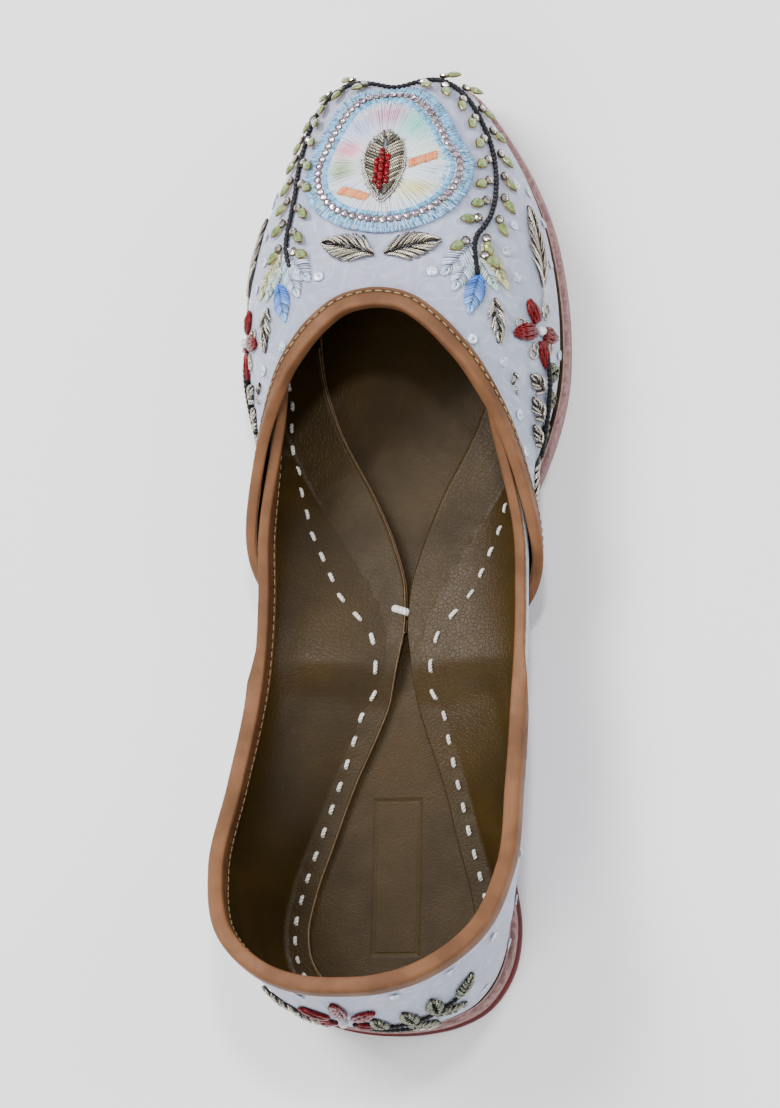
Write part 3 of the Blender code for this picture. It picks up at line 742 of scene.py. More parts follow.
class Finish(Nodes):
    """A new material, its shader, its coordinates and the height that its bump reads."""

    def __init__(self, name):
        self.material = bpy.data.materials.new(name)
        self.material.use_nodes = True
        super().__init__(self.material.node_tree)
        self.shader = self.tree.nodes["Principled BSDF"]
        self.at = self.put("TexCoord").outputs

    def set(self, **values):
        """The shader's sockets, by their names with underscores for spaces."""
        for name, value in values.items():
            self.feed(self.shader.inputs[name.replace("_", " ")], value)

    def speckle(self, scale, detail):
        """Noise over the object's own coordinates."""
        return self.noise(scale, detail, self.at["Object"])

    def stretched(self, scale):
        """The object's own coordinates, scaled."""
        return self.put("Mapping", {"Vector": self.at["Object"], "Scale": scale}).outputs[0]

    def tint(self):
        """The colour that each shape of the piece was given."""
        return self.put("Attribute", attribute_name="tint").outputs["Color"]

    def bump(self, height, distance, strength=1.0):
        """A height fed to the shader's normal, its full rise in metres."""
        sockets = {"Height": height, "Distance": distance, "Strength": strength}
        self.height, self.bumps = height, self.put("Bump", sockets)
        self.set(Normal=self.bumps.outputs[0])

    def raise_by(self, share, rise):
        """More height where a share is 1."""
        self.height = self.maths("MULTIPLY_ADD", share, rise, self.height)
        self.feed(self.bumps.inputs["Height"], self.height)


def group_of(name, floats, outputs):
    """An empty shader group that takes a vector and named values, with its inputs and outputs."""
    tree = bpy.data.node_groups.new(name, "ShaderNodeTree")
    tree.interface.new_socket("Vector", in_out="INPUT", socket_type="NodeSocketVector")
    for label, value in floats.items():
        socket = tree.interface.new_socket(label, in_out="INPUT", socket_type="NodeSocketFloat")
        socket.default_value = value
    for label in outputs:
        tree.interface.new_socket(label, in_out="OUTPUT", socket_type="NodeSocketFloat")
    given = tree.nodes.new("NodeGroupInput").outputs
    return Nodes(tree), given, tree.nodes.new("NodeGroupOutput").inputs


def grain_group():
    """Leather grain: small cells whose borders sink, over slower swells. Height and Shade."""
    floats = {"Cells": 900.0, "Swells": 60.0}
    made, given, wanted = group_of("leather_grain", floats, ("Height", "Shade"))
    at = given["Vector"]
    wobble = made.put("TexNoise", {"Vector": at, "Scale": 400.0, "Detail": 2.0}).outputs["Color"]
    warped = made.vectors("ADD", at, made.vectors("MULTIPLY", wobble, (0.0005,) * 3))
    sockets = {"Vector": warped, "Scale": given["Cells"]}
    cells = made.put("TexVoronoi", sockets, feature="DISTANCE_TO_EDGE").outputs["Distance"]
    swell = made.noise(given["Swells"], 5.0, at)
    slow = made.maths("MULTIPLY", swell, 1.6)
    border = made.ramp(cells, 0.0, 0.16)
    made.feed(wanted["Height"], made.maths("MULTIPLY_ADD", border, 0.5, slow))
    made.feed(wanted["Shade"], made.ramp(swell, 0.3, 0.7))
    return made.tree


def wear_group():
    """Wear: the piece's edge attribute broken up by noise. Mask is 1 where the finish is rubbed."""
    made, given, wanted = group_of("edge_wear", {"Scale": 300.0, "Amount": 0.5}, ("Mask",))
    edge = made.put("Attribute", attribute_name="edge").outputs["Fac"]
    noise = made.noise(given["Scale"], 6.0, given["Vector"])
    both = made.maths("ADD", edge, made.maths("SUBTRACT", noise, 0.62))
    strong = made.ramp(both, 0.25, 0.75)
    made.feed(wanted["Mask"], made.maths("MULTIPLY", strong, given["Amount"]))
    return made.tree


def weave_group():
    """Satin weave on flat millimetre coordinates: sine threads, fainter across. Gives Height."""
    made, given, wanted = group_of("satin_weave", {"Pitch": 0.32}, ("Height",))
    flat = made.split(given["Vector"])
    turn = made.maths("DIVIDE", FULL_TURN, given["Pitch"])
    warp, weft = (made.maths("SINE", made.maths("MULTIPLY", flat[k], turn)) for k in (0, 1))
    made.feed(wanted["Height"], made.maths("MULTIPLY_ADD", weft, 0.35, warp))
    return made.tree


def twist_group():
    """The wound look of bullion and thread: slanted ridges along a strand's own coordinates."""
    made, given, wanted = group_of("wound_strand", {"Pitch": 0.4, "Slant": 1.0}, ("Height",))
    flat = made.split(given["Vector"])
    along = made.maths("DIVIDE", flat[0], given["Pitch"])
    phase = made.maths("MULTIPLY_ADD", flat[1], given["Slant"], along)
    wave = made.maths("SINE", made.maths("MULTIPLY", phase, FULL_TURN))
    made.feed(wanted["Height"], made.maths("MULTIPLY_ADD", wave, 0.5, 0.5))
    return made.tree


FULL_TURN = 6.2832
GROUP_MAKERS = {
    "grain": grain_group, "wear": wear_group, "weave": weave_group, "twist": twist_group
}
GROUPS = {}


def shared(name):
    """A shader group, built the first time it is wanted."""
    if name not in GROUPS:
        GROUPS[name] = GROUP_MAKERS[name]()
    return GROUPS[name]


def scaled(colour, by):
    """A colour made lighter or darker."""
    return tuple(min(1.0, part * by) for part in colour)


def satin(made, colour, violet):
    """Pale satin: fine weave, slow mottling between two tones, faint scrolls and soft puckers."""
    slow = made.speckle(38.0, 4.0)
    small = made.speckle(420.0, 3.0)
    tone = made.mix(made.ramp(slow, 0.34, 0.68), colour, violet)
    tone = made.mix(made.ramp(small, 0.3, 0.7, 0.0, 0.35), tone, scaled(colour, 0.72))
    curl = made.maths("SINE", made.maths("MULTIPLY", made.speckle(70.0, 2.0), 60.0))
    tone = made.mix(made.ramp(curl, 0.55, 0.95, 0.0, 0.3), tone, (0.8, 0.84, 0.92))
    weave = made.group("weave", made.at["UV"])[0]
    height = made.maths("MULTIPLY_ADD", made.speckle(150.0, 3.0), 5.0, weave)
    made.bump(height, 0.00008, 0.8)
    made.set(Base_Color=tone, Roughness=made.ramp(slow, 0.2, 0.8, 0.42, 0.6))
    made.set(Sheen_Weight=0.25, Sheen_Roughness=0.4, Specular_IOR_Level=0.45)


def leather(made, colour, roughness, cells, coat, depth, worn, swells):
    """Leather: grain, slow changes of shade, and rubbed edges in a paler tone. Gives its tone."""
    at = made.at["Object"]
    grain = made.group("grain", at, Cells=cells, Swells=swells)
    tone = made.mix(grain["Shade"], scaled(colour, 0.72), scaled(colour, 1.18))
    if worn:
        tone = made.mix(made.group("wear", at, Amount=0.55)[0], tone, worn)
    rough = made.ramp(grain["Shade"], 0.0, 1.0, roughness * 1.12, roughness * 0.88)
    made.bump(grain["Height"], depth, 0.7)
    made.set(Base_Color=tone, Roughness=rough, Specular_IOR_Level=0.16)
    made.set(Coat_Weight=coat, Coat_Roughness=0.18)
    return tone


def bound_leather(made, colour, line, pitch):
    """The tan strip's leather: grain, rubbed folds, and needle holes at every pitch along a line
    that many millimetres below the rim, painted dark as painted shade in the holes and along the
    pressed seam line."""
    tone = leather(made, colour, 0.5, 1500.0, 0.0, 0.00008, scaled(colour, 1.5), 90.0)
    flat = made.split(made.at["UV"])
    step = made.maths("FRACT", made.maths("DIVIDE", flat[0], pitch))
    along = made.maths("MULTIPLY", made.maths("SUBTRACT", step, 0.5), pitch)
    across = made.maths("ADD", flat[1], line)
    hole = made.ramp(made.apart(along, across), 0.2, 0.5, 1.0, 0.0)
    seam = made.ramp(made.maths("ABSOLUTE", across), 0.25, 0.75, 0.45, 0.0)
    # mark: painted shade in the needle holes and along the pressed seam line, also sunk by the bump
    mark = made.maths("MAXIMUM", hole, seam)
    made.set(Base_Color=made.mix(mark, tone, scaled(colour, 0.28)))
    made.raise_by(mark, -3.0)


def strand(made, metallic, roughness, pitch, slant_by, depth, coat=0.0):
    """Thread, floss or bullion, coloured by the piece's tint, with its wound ridges, and painted
    shade: the grooves between the ridges are painted darker.
    """
    tint = made.tint()
    wound = made.group("twist", made.at["UV"], Pitch=pitch, Slant=slant_by)[0]
    # dark: the tint darkened for the grooves between coils and between beads, painted shade
    dark = made.mix(1.0, tint, (0.25, 0.22, 0.2), "MULTIPLY")
    tone = made.mix(made.ramp(wound, 0.0, 0.6, 0.45, 0.0), tint, dark)
    rough = made.ramp(wound, 0.0, 1.0, min(1.0, roughness * 1.4), roughness)
    made.bump(wound, depth)
    made.set(Base_Color=tone, Roughness=rough, Metallic=metallic)
    made.set(Coat_Weight=coat, Coat_Roughness=0.1, Specular_IOR_Level=0.5 if metallic else 0.2)


def bead_glass(made, roughness, coat, clear=0.0, metallic=0.0, mirrored=0.5):
    """Glass beads and stones, coloured by the piece's tint with a little cloudiness."""
    tint = made.tint()
    cloud = made.speckle(900.0, 2.0)
    deep = made.mix(1.0, tint, (0.45, 0.45, 0.48), "MULTIPLY")
    tone = made.mix(made.ramp(cloud, 0.35, 0.7, 0.0, 0.8), tint, deep)
    rough = made.ramp(cloud, 0.3, 0.7, roughness * 0.6, roughness * 1.4)
    made.set(Base_Color=tone, Roughness=rough, Coat_Weight=coat, Coat_Roughness=0.03)
    made.set(Transmission_Weight=clear, Metallic=metallic, Specular_IOR_Level=mirrored, IOR=1.52)


def rubber(made, colour):
    """The heel patch: matt, finely pitted, scuffed in places."""
    slow = made.speckle(45.0, 6.0)
    tone = made.mix(made.ramp(slow, 0.35, 0.7), scaled(colour, 0.85), scaled(colour, 1.3))
    tone = made.mix(made.group("wear", made.at["Object"])[0], tone, scaled(colour, 2.2))
    made.bump(made.speckle(1400.0, 3.0), 0.0001, 0.6)
    made.set(Base_Color=tone, Roughness=made.ramp(slow, 0.3, 0.7, 0.62, 0.8))


def raw_edge(made, colour):
    """Cut leather edge: layered fibres."""
    fibres = made.noise(700.0, 5.0, made.stretched((1.0, 1.0, 4.0)))
    tone = made.mix(made.ramp(fibres, 0.3, 0.7), scaled(colour, 0.6), scaled(colour, 1.25))
    made.bump(fibres, 0.0002, 0.8)
    made.set(Base_Color=tone, Roughness=made.ramp(fibres, 0.3, 0.7, 0.9, 0.75))


# The bare presses under the sole: the oval's place and its two half sizes, and the discs' places
OVAL_AT = (0.0, -0.052, 0.0)
OVAL_PER_METRE = (90.0, 66.0, 0.0)
DISC_ASIDE = 0.0053
DISC_AHEAD = 0.0715
DISC_RADIUS = 0.003

# The insole's plain pressed panel: its middle and its half sizes
PANEL_AT = (-0.0006, 0.0853, 0.0)
PANEL_HALF = (0.0066, 0.0205)


def sole_leather(made, colour):
    """The crimson sole: glossy, finely creased, with an oval and two round presses left bare."""
    leather(made, colour, 0.3, 700.0, 0.5, 0.0001, (0.5, 0.1, 0.08), 40.0)
    at = made.at["Object"]
    centred = made.put("Mapping", {"Vector": at, "Location": OVAL_AT}, vector_type="POINT")
    squeezed = made.vectors("MULTIPLY", centred.outputs[0], OVAL_PER_METRE)
    far = made.put("VectorMath", {0: squeezed}, operation="LENGTH").outputs["Value"]
    oval = made.maths("MULTIPLY", made.ramp(far, 0.86, 0.92), made.ramp(far, 1.0, 1.06, 1.0, 0.0))
    flat = made.split(at)
    aside = made.maths("SUBTRACT", made.maths("ABSOLUTE", flat[0]), DISC_ASIDE)
    ahead = made.maths("SUBTRACT", flat[1], DISC_AHEAD)
    disc = made.ramp(made.apart(aside, ahead), DISC_RADIUS, DISC_RADIUS * 1.2, 1.0, 0.0)
    made.raise_by(made.maths("MAXIMUM", oval, disc), -4.0)
    made.raise_by(made.noise(1.0, 5.0, made.stretched((30.0, 170.0, 30.0))), 2.2)


def sock_leather(made, colour):
    """The insole's leather, with the plain pressed panel at the heel."""
    tone = leather(made, colour, 0.45, 1100.0, 0.0, 0.0001, scaled(colour, 1.6), 60.0)
    apart = made.split(made.vectors("ABSOLUTE", made.vectors("ADD", made.at["Object"], PANEL_AT)))
    across, along = (made.maths("SUBTRACT", apart[k], PANEL_HALF[k]) for k in (0, 1))
    inside = made.maths("MAXIMUM", across, along)
    sunk = made.ramp(inside, -0.0006, 0.0002, 1.0, 0.0)
    line = made.maths("ABSOLUTE", made.maths("ADD", inside, 0.0009))
    made.raise_by(sunk, -3.0)
    made.raise_by(made.ramp(line, 0.0001, 0.0005, 1.0, 0.0), -1.5)
    half = made.maths("MULTIPLY", sunk, 0.5)
    made.set(Base_Color=made.mix(half, tone, scaled(colour, 1.25)))


def floor_paper(made, colour):
    """The pale floor: matt, with the faintest mottling."""
    tone = made.mix(made.ramp(made.speckle(3.0, 3.0), 0.3, 0.7), scaled(colour, 0.985), colour)
    made.set(Base_Color=tone, Roughness=0.9, Specular_IOR_Level=0.1)


MATERIALS = {}


def material(name):
    """A finish of this shoe, made the first time it is wanted."""
    scene = bpy.context.scene
    upper, sole = scene.jutti_upper, scene.jutti_sole
    pitch = upper.seam_pitch / MM
    makers = {
        "cloth": (satin, upper.cloth_colour, upper.cloth_second_colour),
        "lining": (leather, upper.lining_colour, 0.42, 900.0, 0.0, 0.0001, None, 50.0),
        "flap_edge": (raw_edge, upper.raw_colour),
        "throat_tan": (bound_leather, upper.binding_colour, THROAT_SEAM / MM, pitch),
        "collar_tan": (bound_leather, upper.binding_colour, COLLAR_SEAM / MM, pitch),
        "thread": (strand, 0.0, 0.8, 0.8, 2.0, 0.00022),
        "sole_red": (sole_leather, sole.sole_colour), "sole_edge": (raw_edge, sole.edge_colour),
        "heel_rubber": (rubber, sole.heel_colour), "sock": (sock_leather, upper.lining_colour),
        "padding": (satin, (0.5, 0.58, 0.7), (0.56, 0.6, 0.72)),
        "bugle_glass": (bead_glass, 0.16, 0.2, 0.0, 0.0, 0.15),
        "floss": (strand, 0.0, 0.42, 0.9, 3.0, 0.00004, 0.15),
        "bullion": (strand, 1.0, 0.17, 0.5, 1.0, 0.00008),
        "cord_beads": (strand, 0.0, 0.2, 1.35, 0.0, 0.00018),
        "crystal": (bead_glass, 0.06, 0.8, 0.0, 0.85), "drop_glass": (bead_glass, 0.12, 0.7, 0.2),
        "claw_metal": (strand, 0.9, 0.3, 0.6, 0.0, 0.00002),
        "sequin_film": (bead_glass, 0.16, 0.5, 0.0, 0.2),
        "floor": (floor_paper, scene.jutti_stage.floor_colour)
    }
    if name not in MATERIALS:
        made = Finish(name)
        maker, *values = makers[name]
        maker(made, *values)
        MATERIALS[name] = made.material
    return MATERIALS[name]


# The upper


def lasted_shell(name, columns, edge, off, node):
    """A shell of cloth over leather: the last's face at its offset outside, and one wall nearer
    the foot inside, from the flap's edge through the turn up to the rim, its edges closed."""
    rows = np.concatenate([np.linspace(-2, -1, 14), np.linspace(-1, 0, 15)[1:]])
    climb = np.linspace(0, 1, 56)[1:]
    reach = reach_at(columns, edge)
    grid = np.hstack([np.tile(rows, (len(columns), 1)), reach[:, None] * climb])
    place = np.repeat(columns, grid.shape[1])
    row = grid.ravel()
    shape = (len(columns), grid.shape[1], 3)
    relief = creased(place, row) * eased(row / 0.2)
    home = wrapped(place)
    base = last(home, row)
    out = facing(home, row)
    pucker = PUCKER * np.cos(place * HALF_ROUND / PUCKER_PITCH * 2 * np.pi)
    pucker *= 0.6 + 0.4 * np.sin(place * 53.0 + 1.0)
    pucker *= np.exp(-(((row + 1.2) / 0.32) ** 2))
    outside = (base + out * (off + relief)[:, None]).reshape(shape)
    inside = (base + out * (off - WALL + relief + pucker)[:, None]).reshape(shape)
    loop = np.concatenate([outside, inside[:, ::-1]], axis=1)
    count, many = loop.shape[:2]
    half = many // 2
    quads = lattice(count, many, True)
    across = np.tile(np.arange(many), count - 1)
    finish = np.where(across < half - 1, 0, np.where((across >= half) & (across < many - 1), 1, 2))
    i = np.arange(half - 1)
    cap = np.column_stack([i, i + 1, many - 2 - i, many - 1 - i])
    caps = np.vstack([cap[:, ::-1], cap + (count - 1) * many])
    points = loop.reshape(-1, 3)
    faces = turned_out(points, [quads, caps])
    along = way_along(outside[:, half * 2 // 3])
    up = np.array([way_along(line) for line in outside])
    up = np.hstack([up, up[:, ::-1]])
    flat = np.stack([np.repeat(along[:, None], many, 1), up], axis=2) / MM
    heap = Heap()
    heap.add(points, faces, flat=flat, finish=[finish, np.full(len(caps), 2)])
    heap.piece(name, ["cloth", "lining", "flap_edge"], "pale_cloth", node)


def softened(corners, times=2):
    """A closed profile with its corners cut twice: each side keeps its middle half."""
    for _ in range(times):
        ahead = np.roll(corners, -1, axis=-2)
        cut = np.stack([corners * 0.75 + ahead * 0.25, corners * 0.25 + ahead * 0.75], axis=-2)
        corners = cut.reshape(*corners.shape[:-2], -1, 2)
    return corners


def throat_section(count):
    """The strip on the vamp's edge, out and up of the rim: a leg outside, and over the top."""
    b, gap = BINDING, FOLD_GAP
    one = np.array([
        (gap, -THROAT_LEG), (gap, -THROAT_LEG / 2), (gap, gap), (-WALL, gap),
        (-WALL - 0.1 * b, gap + 0.6 * b), (-WALL + 0.3 * b, gap + 1.15 * b), (0.0, gap + 1.2 * b),
        (gap + 0.95 * b, gap + 0.8 * b), (gap + 1.15 * b, -0.4 * b),
        (gap + 1.0 * b, -THROAT_LEG * 0.5), (gap + 0.85 * b, -THROAT_LEG * 0.72),
        (gap + 0.95 * b, -THROAT_LEG * 0.86), (gap + 0.9 * b, -THROAT_LEG)
    ])
    return np.repeat(softened(one)[None], count, axis=0)


def collar_section(columns):
    """The strip on the quarter's edge: a leg inside, over the top, and behind the vamp a leg
    outside that grows as the reach does."""
    b, gap = BINDING, FOLD_GAP
    inside = -WALL - gap
    flush = np.array([
        (inside, -COLLAR_LEG), (inside, -COLLAR_LEG / 2), (inside, gap), (-0.35 * b, gap),
        (-0.15 * b, gap + 0.15 * b), (0.0, gap + 0.35 * b), (0.0, gap + 0.75 * b),
        (-0.4 * b, gap + 1.2 * b), (inside, gap + 1.2 * b), (inside - 0.95 * b, gap + 0.8 * b),
        (inside - 1.15 * b, -0.4 * b), (inside - b, -COLLAR_LEG * 0.55),
        (inside - 0.85 * b, -COLLAR_LEG * 0.73), (inside - b, -COLLAR_LEG * 0.88),
        (inside - 0.9 * b, -COLLAR_LEG)
    ])
    full = flush.copy()
    full[3] = (gap, gap)
    full[4] = (gap, -COLLAR_BACK_LEG)
    full[5] = (gap + 0.9 * b, -COLLAR_BACK_LEG)
    full[6] = (gap + 1.15 * b, -0.4 * b)
    full[7] = (gap + 0.7 * b, gap + 1.0 * b)
    reach = reach_at(columns, COLLAR_REACH)[:, None]
    over = np.clip(reach * 2, 0, 1)
    down = np.clip(reach * 2 - 1, 0, 1)
    lateral = between(flush[:, 0], full[:, 0], over)
    rise = between(flush[:, 1], full[:, 1], down)
    return softened(np.stack([lateral, rise], axis=2))


def rim_of(columns, edge, off):
    """A shell's rim: its points, its reach, the directions out and up, and the length along it."""
    home = wrapped(columns)
    reach = reach_at(columns, edge)
    rim = over_last(home, reach, np.full(len(columns), off))
    ahead = unit(np.gradient(rim, axis=0))
    out = facing(home, reach)
    up = np.cross(out, ahead)
    up = unit(up * np.where(up[:, 2] > 0, 1, -1)[:, None])
    return rim, reach, out, up, way_along(rim)


def binding(name, columns, edge, off, sections, finish, node):
    """A leather strip folded over a rim: each corner of its section goes out by its lateral, and
    up by its rise, or down along the last where the rise is below 0."""
    rim, reach, out, up, length = rim_of(columns, edge, off)
    count, sides = sections.shape[:2]
    lateral = sections[..., 0].ravel()
    rise = sections[..., 1].ravel()
    many = np.repeat(np.arange(count), sides)
    place, row = walked(
        wrapped(columns)[many], reach[many], up[many] * np.minimum(rise, 0)[:, None], 6
    )
    on_face = over_last(place, row, off + lateral)
    above = rim[many] + out[many] * lateral[:, None] + up[many] * rise[:, None]
    points = np.where((rise < 0)[:, None], on_face, above)
    faces = capped(points, count, sides)
    flat = np.column_stack([length[many], rise]) / MM
    worn = 0.55 * np.exp(-(((rise - 0.5 * MM) / (0.9 * MM)) ** 2))
    lip = 0.5 * np.exp(-(((rise - rise.min()) / (0.5 * MM)) ** 2))
    heap = Heap()
    heap.add(points, faces, flat=flat, edge=worn + lip)
    heap.piece(name, [finish], "tan_leather", node)


def seam(heap, columns, edge, off, lateral, drop, pitch, sign):
    """A row of short machine stitches down from a rim by drop, each an arc whose ends dive in."""
    _, _, _, up, length = rim_of(columns, edge, off)
    middles = (np.arange(int(length[-1] / pitch) - 1) + 1.0) * pitch
    share = np.linspace(-1, 1, 5)
    at = middles[:, None] + share * SEAM_STITCH / 2
    column = np.interp(at, length, columns)
    reach_here = reach_at(column.ravel(), edge)
    ups = np.stack([np.interp(at.ravel(), length, up[:, k]) for k in range(3)], axis=1)
    place, row = walked(wrapped(column.ravel()), reach_here, unit(ups) * -drop, 5)
    outs = facing(place, row) * sign
    lift = lateral + (0.3 - 0.34 * share**4) * 0.5 * MM
    centres = over_last(place, row, off + sign * np.tile(lift, len(middles)))
    shape = (len(middles), 5, 3)
    shade = 0.9 + 0.1 * scattered(len(middles), 11)
    tubes(
        heap, centres.reshape(shape), outs.reshape(shape), 0.18 * MM * (1 - 0.3 * share**4), 6, 0.8,
        np.outer(shade, (0.58, 0.42, 0.22))
    )


def round_vamp(count):
    """Places from one wing's end round the toe to the other's."""
    return np.linspace(-VAMP_END, VAMP_END, count)


def round_quarter(count):
    """Places from one end of the quarter round the heel to the other."""
    return np.linspace(QUARTER_START, 2 - QUARTER_START, count)


# Settings


def colour_setting(name, description, default):
    """A colour in the panel."""
    return FloatVectorProperty(
        name=name, description=description, size=3, subtype="COLOR", min=0, max=1, default=default
    )


def length_setting(name, description, least, default):
    """A length in the panel, in metres."""
    return FloatProperty(
        name=name, description=description, subtype="DISTANCE", unit="LENGTH", min=least,
        default=default
    )


class JuttiUpper(bpy.types.PropertyGroup):
    """Colours and seams of the upper."""

    cloth_colour: colour_setting("Satin", "Main tone of the pale satin", (0.5, 0.56, 0.72))
    cloth_second_colour: colour_setting(
        "Satin shade", "Tone that the satin drifts to", (0.55, 0.55, 0.74)
    )
    lining_colour: colour_setting("Lining", "Leather inside the shoe", (0.034, 0.019, 0.004))
    raw_colour: colour_setting("Cut edge", "Raw edges of the turned-in flaps", (0.34, 0.22, 0.12))
    binding_colour: colour_setting(
        "Binding", "Tan leather strips round the openings", (0.155, 0.068, 0.029)
    )
    seam_pitch: length_setting(
        "Seam pitch", "Distance between the binding's stitches", 0.001, 0.0023
    )


class JuttiSole(bpy.types.PropertyGroup):
    """Colours of the sole and size of its hand stitches."""

    sole_colour: colour_setting("Sole", "Glossy leather under the shoe", (0.27, 0.002, 0.01))
    edge_colour: colour_setting("Sole edge", "Cut edge of the sole", (0.34, 0.2, 0.19))
    heel_colour: colour_setting("Heel patch", "Matt patch under the heel", (0.1, 0.008, 0.009))
    thread_colour: colour_setting(
        "Thread", "Thread that holds the upper to the sole", (0.8, 0.78, 0.72)
    )
    stitch_pitch: length_setting(
        "Stitch pitch", "Distance between the sole's stitches", 0.003, 0.0062
    )
    stitch_length: length_setting("Stitch length", "Length of each stitch", 0.001, 0.0026)


class JuttiBeads(bpy.types.PropertyGroup):
    """Sizes and colours of the embroidery."""

    band_colour: colour_setting("Bead bands", "Bugle beads round the medallion", (0.13, 0.44, 0.74))
    red_colour: colour_setting(
        "Red beads", "Petals and the middle of the teardrop", (0.15, 0.0005, 0.003)
    )
    drop_colour: colour_setting("Drops", "Green drops beside the vines", (0.3, 0.4, 0.14))
    bullion_colour: colour_setting(
        "Bullion", "Coiled metal thread of the leaves", (0.62, 0.56, 0.47)
    )
    band_width: length_setting("Band width", "Length of the beads across each band", 0.001, 0.0027)
    chain_stones: IntProperty(
        name="Chain stones", description="Stones in the chain round the medallion", min=20, max=90,
        default=58
    )
    vine_thickness: length_setting("Vine thickness", "Across the black beaded cord", 0.0005, 0.0015)


class JuttiStage(bpy.types.PropertyGroup):
    """The floor and the light."""

    floor_colour: colour_setting("Floor", "Pale floor", (0.93, 0.93, 0.94))
    key_power: FloatProperty(
        name="Key light", description="Power of the main soft light", unit="POWER", min=0,
        default=24.0
    )
    sky_strength: FloatProperty(
        name="Surrounding light", description="Strength of the light from overhead", min=0,
        default=0.85
    )


class JUTTI_OT_upper(bpy.types.Operator):
    """Make the vamp and the quarter, cloth outside and leather inside"""

    bl_idname = "jutti.upper"
    bl_label = "Upper"

    def execute(self, context):
        lasted_shell("vamp_shell", round_vamp(441), VAMP_EDGE, LAP, "vamp")
        lasted_shell("quarter_shell", round_quarter(401), QUARTER_EDGE, 0.0, "quarter")
        return {"FINISHED"}


class JUTTI_OT_bindings(bpy.types.Operator):
    """Fold the tan strips over both openings and sew them"""

    bl_idname = "jutti.bindings"
    bl_label = "Bindings"

    def execute(self, context):
        pitch = context.scene.jutti_upper.seam_pitch
        vamp = round_vamp(421)
        quarter = round_quarter(521)
        binding(
            "throat_strip", vamp, VAMP_EDGE, LAP, throat_section(len(vamp)), "throat_tan",
            "throat_binding"
        )
        binding(
            "collar_strip", quarter, QUARTER_EDGE, 0.0, collar_section(quarter), "collar_tan",
            "collar_binding"
        )
        heap = Heap()
        outer = FOLD_GAP + BINDING
        seam(heap, vamp, VAMP_EDGE, LAP, outer, THROAT_SEAM, pitch, 1)
        inner = WALL + FOLD_GAP + BINDING
        seam(heap, quarter, QUARTER_EDGE, 0.0, inner, COLLAR_SEAM, pitch, -1)
        heap.piece("binding_seams", ["thread"], "tan_leather")
        return {"FINISHED"}


# The sole


def stitch_places(pitch):
    """Places of the hand stitches round the sole, evenly along its outline."""
    count = int(round(2 * HALF_ROUND / pitch))
    return wrapped((np.arange(count) + 0.5) * 2 / count)


def stitch_line(place, inset, size, steps):
    """Level points of each stitch: along the inset outline, from half its size before its middle
    to half after."""
    share = np.linspace(-1, 1, steps) * size / 2 / HALF_ROUND
    at = wrapped(place[:, None] + share).ravel()
    level = outline(at) - outward(at) * stitch_inset(outline(at)[:, 1], inset)[:, None]
    return level.reshape(len(place), steps, 2), share


def stitch_inset(y, inset):
    """The stitches' distance from the sole's edge, less at the waist by a bell curve."""
    along = y / LENGTH + 0.5
    return inset - WAIST_SHIFT * np.exp(-(((along - 0.41) / 0.09) ** 2))


# The stitches inside: share of the length and the last's row. They climb the turn at the waist.
INNER_ROW = np.array([
    (0.08, -1.28), (0.16, -1.38), (0.27, -1.3), (0.32, -1.05), (0.345, -0.45), (0.37, 0.03),
    (0.41, 0.07), (0.45, 0.18), (0.52, 0.22), (0.56, 0.1), (0.59, -0.35), (0.615, -1.0),
    (0.65, -1.22)
])


def dimpled(level, stitches):
    """How far the leather is drawn in: a bell curve of the distance to the nearest stitch."""
    far = np.full(len(level), 1.0)
    for spot in stitches.reshape(-1, 2):
        far = np.minimum(far, np.hypot(level[:, 0] - spot[0], level[:, 1] - spot[1]))
    return DIMPLE * np.exp(-((far / DIMPLE_REACH) ** 2))


def stacked(rings):
    """Faces through closed rings whose points run round both sides, closed flat at both ends."""
    count = len(rings[0])
    points = np.concatenate(rings)
    quads = lattice(len(rings), count, True)
    i = np.arange(1, count // 2 - 1)
    strip = np.column_stack([i, i + 1, count - i - 1, count - i])
    tips = np.array([(0, 1, count - 1), (count // 2 - 1, count // 2, count // 2 + 1)])
    last_ring = (len(rings) - 1) * count
    faces = [quads, np.vstack([strip[:, ::-1], strip + last_ring])]
    faces.append(np.vstack([tips[:, ::-1], tips + last_ring]))
    return points, faces


def layer_rings(inset, lift, thickness, ease, drawn_in=None):
    """Rings of a sole layer from its underside's middle, round its edge, to its top's middle."""
    place = wrapped(np.arange(560) * 2 / 560)
    out = outward(place)
    rim = outline(place) - out * inset
    near = np.arange(0.7, 9.0, 0.75) * MM
    ledge = rim - out * near[-1]
    spine = np.column_stack([np.zeros(len(rim)), np.clip(rim[:, 1], -0.41 * LENGTH, 0.42 * LENGTH)])
    face = [between(spine, ledge, share) for share in (0.1, 0.3, 0.5, 0.7, 0.86)]
    face += [rim - out * step for step in near[::-1]]
    lower = [(level, 0.0) for level in face]
    for angle in np.linspace(0, np.pi / 2, 5):
        lower.append((rim - out * ease * (1 - np.sin(angle)), ease * (1 - np.cos(angle))))
    rings = lower + [(level, thickness - height) for level, height in lower[::-1]]
    solid = []
    for number, (level, height) in enumerate(rings):
        up = under_sole(level[:, 1]) + (lift + height) * slant(level[:, 1])
        if drawn_in is not None and number < len(face):
            up = up + dimpled(level, drawn_in)
        solid.append(np.column_stack([level, up]))
    return solid, len(face)


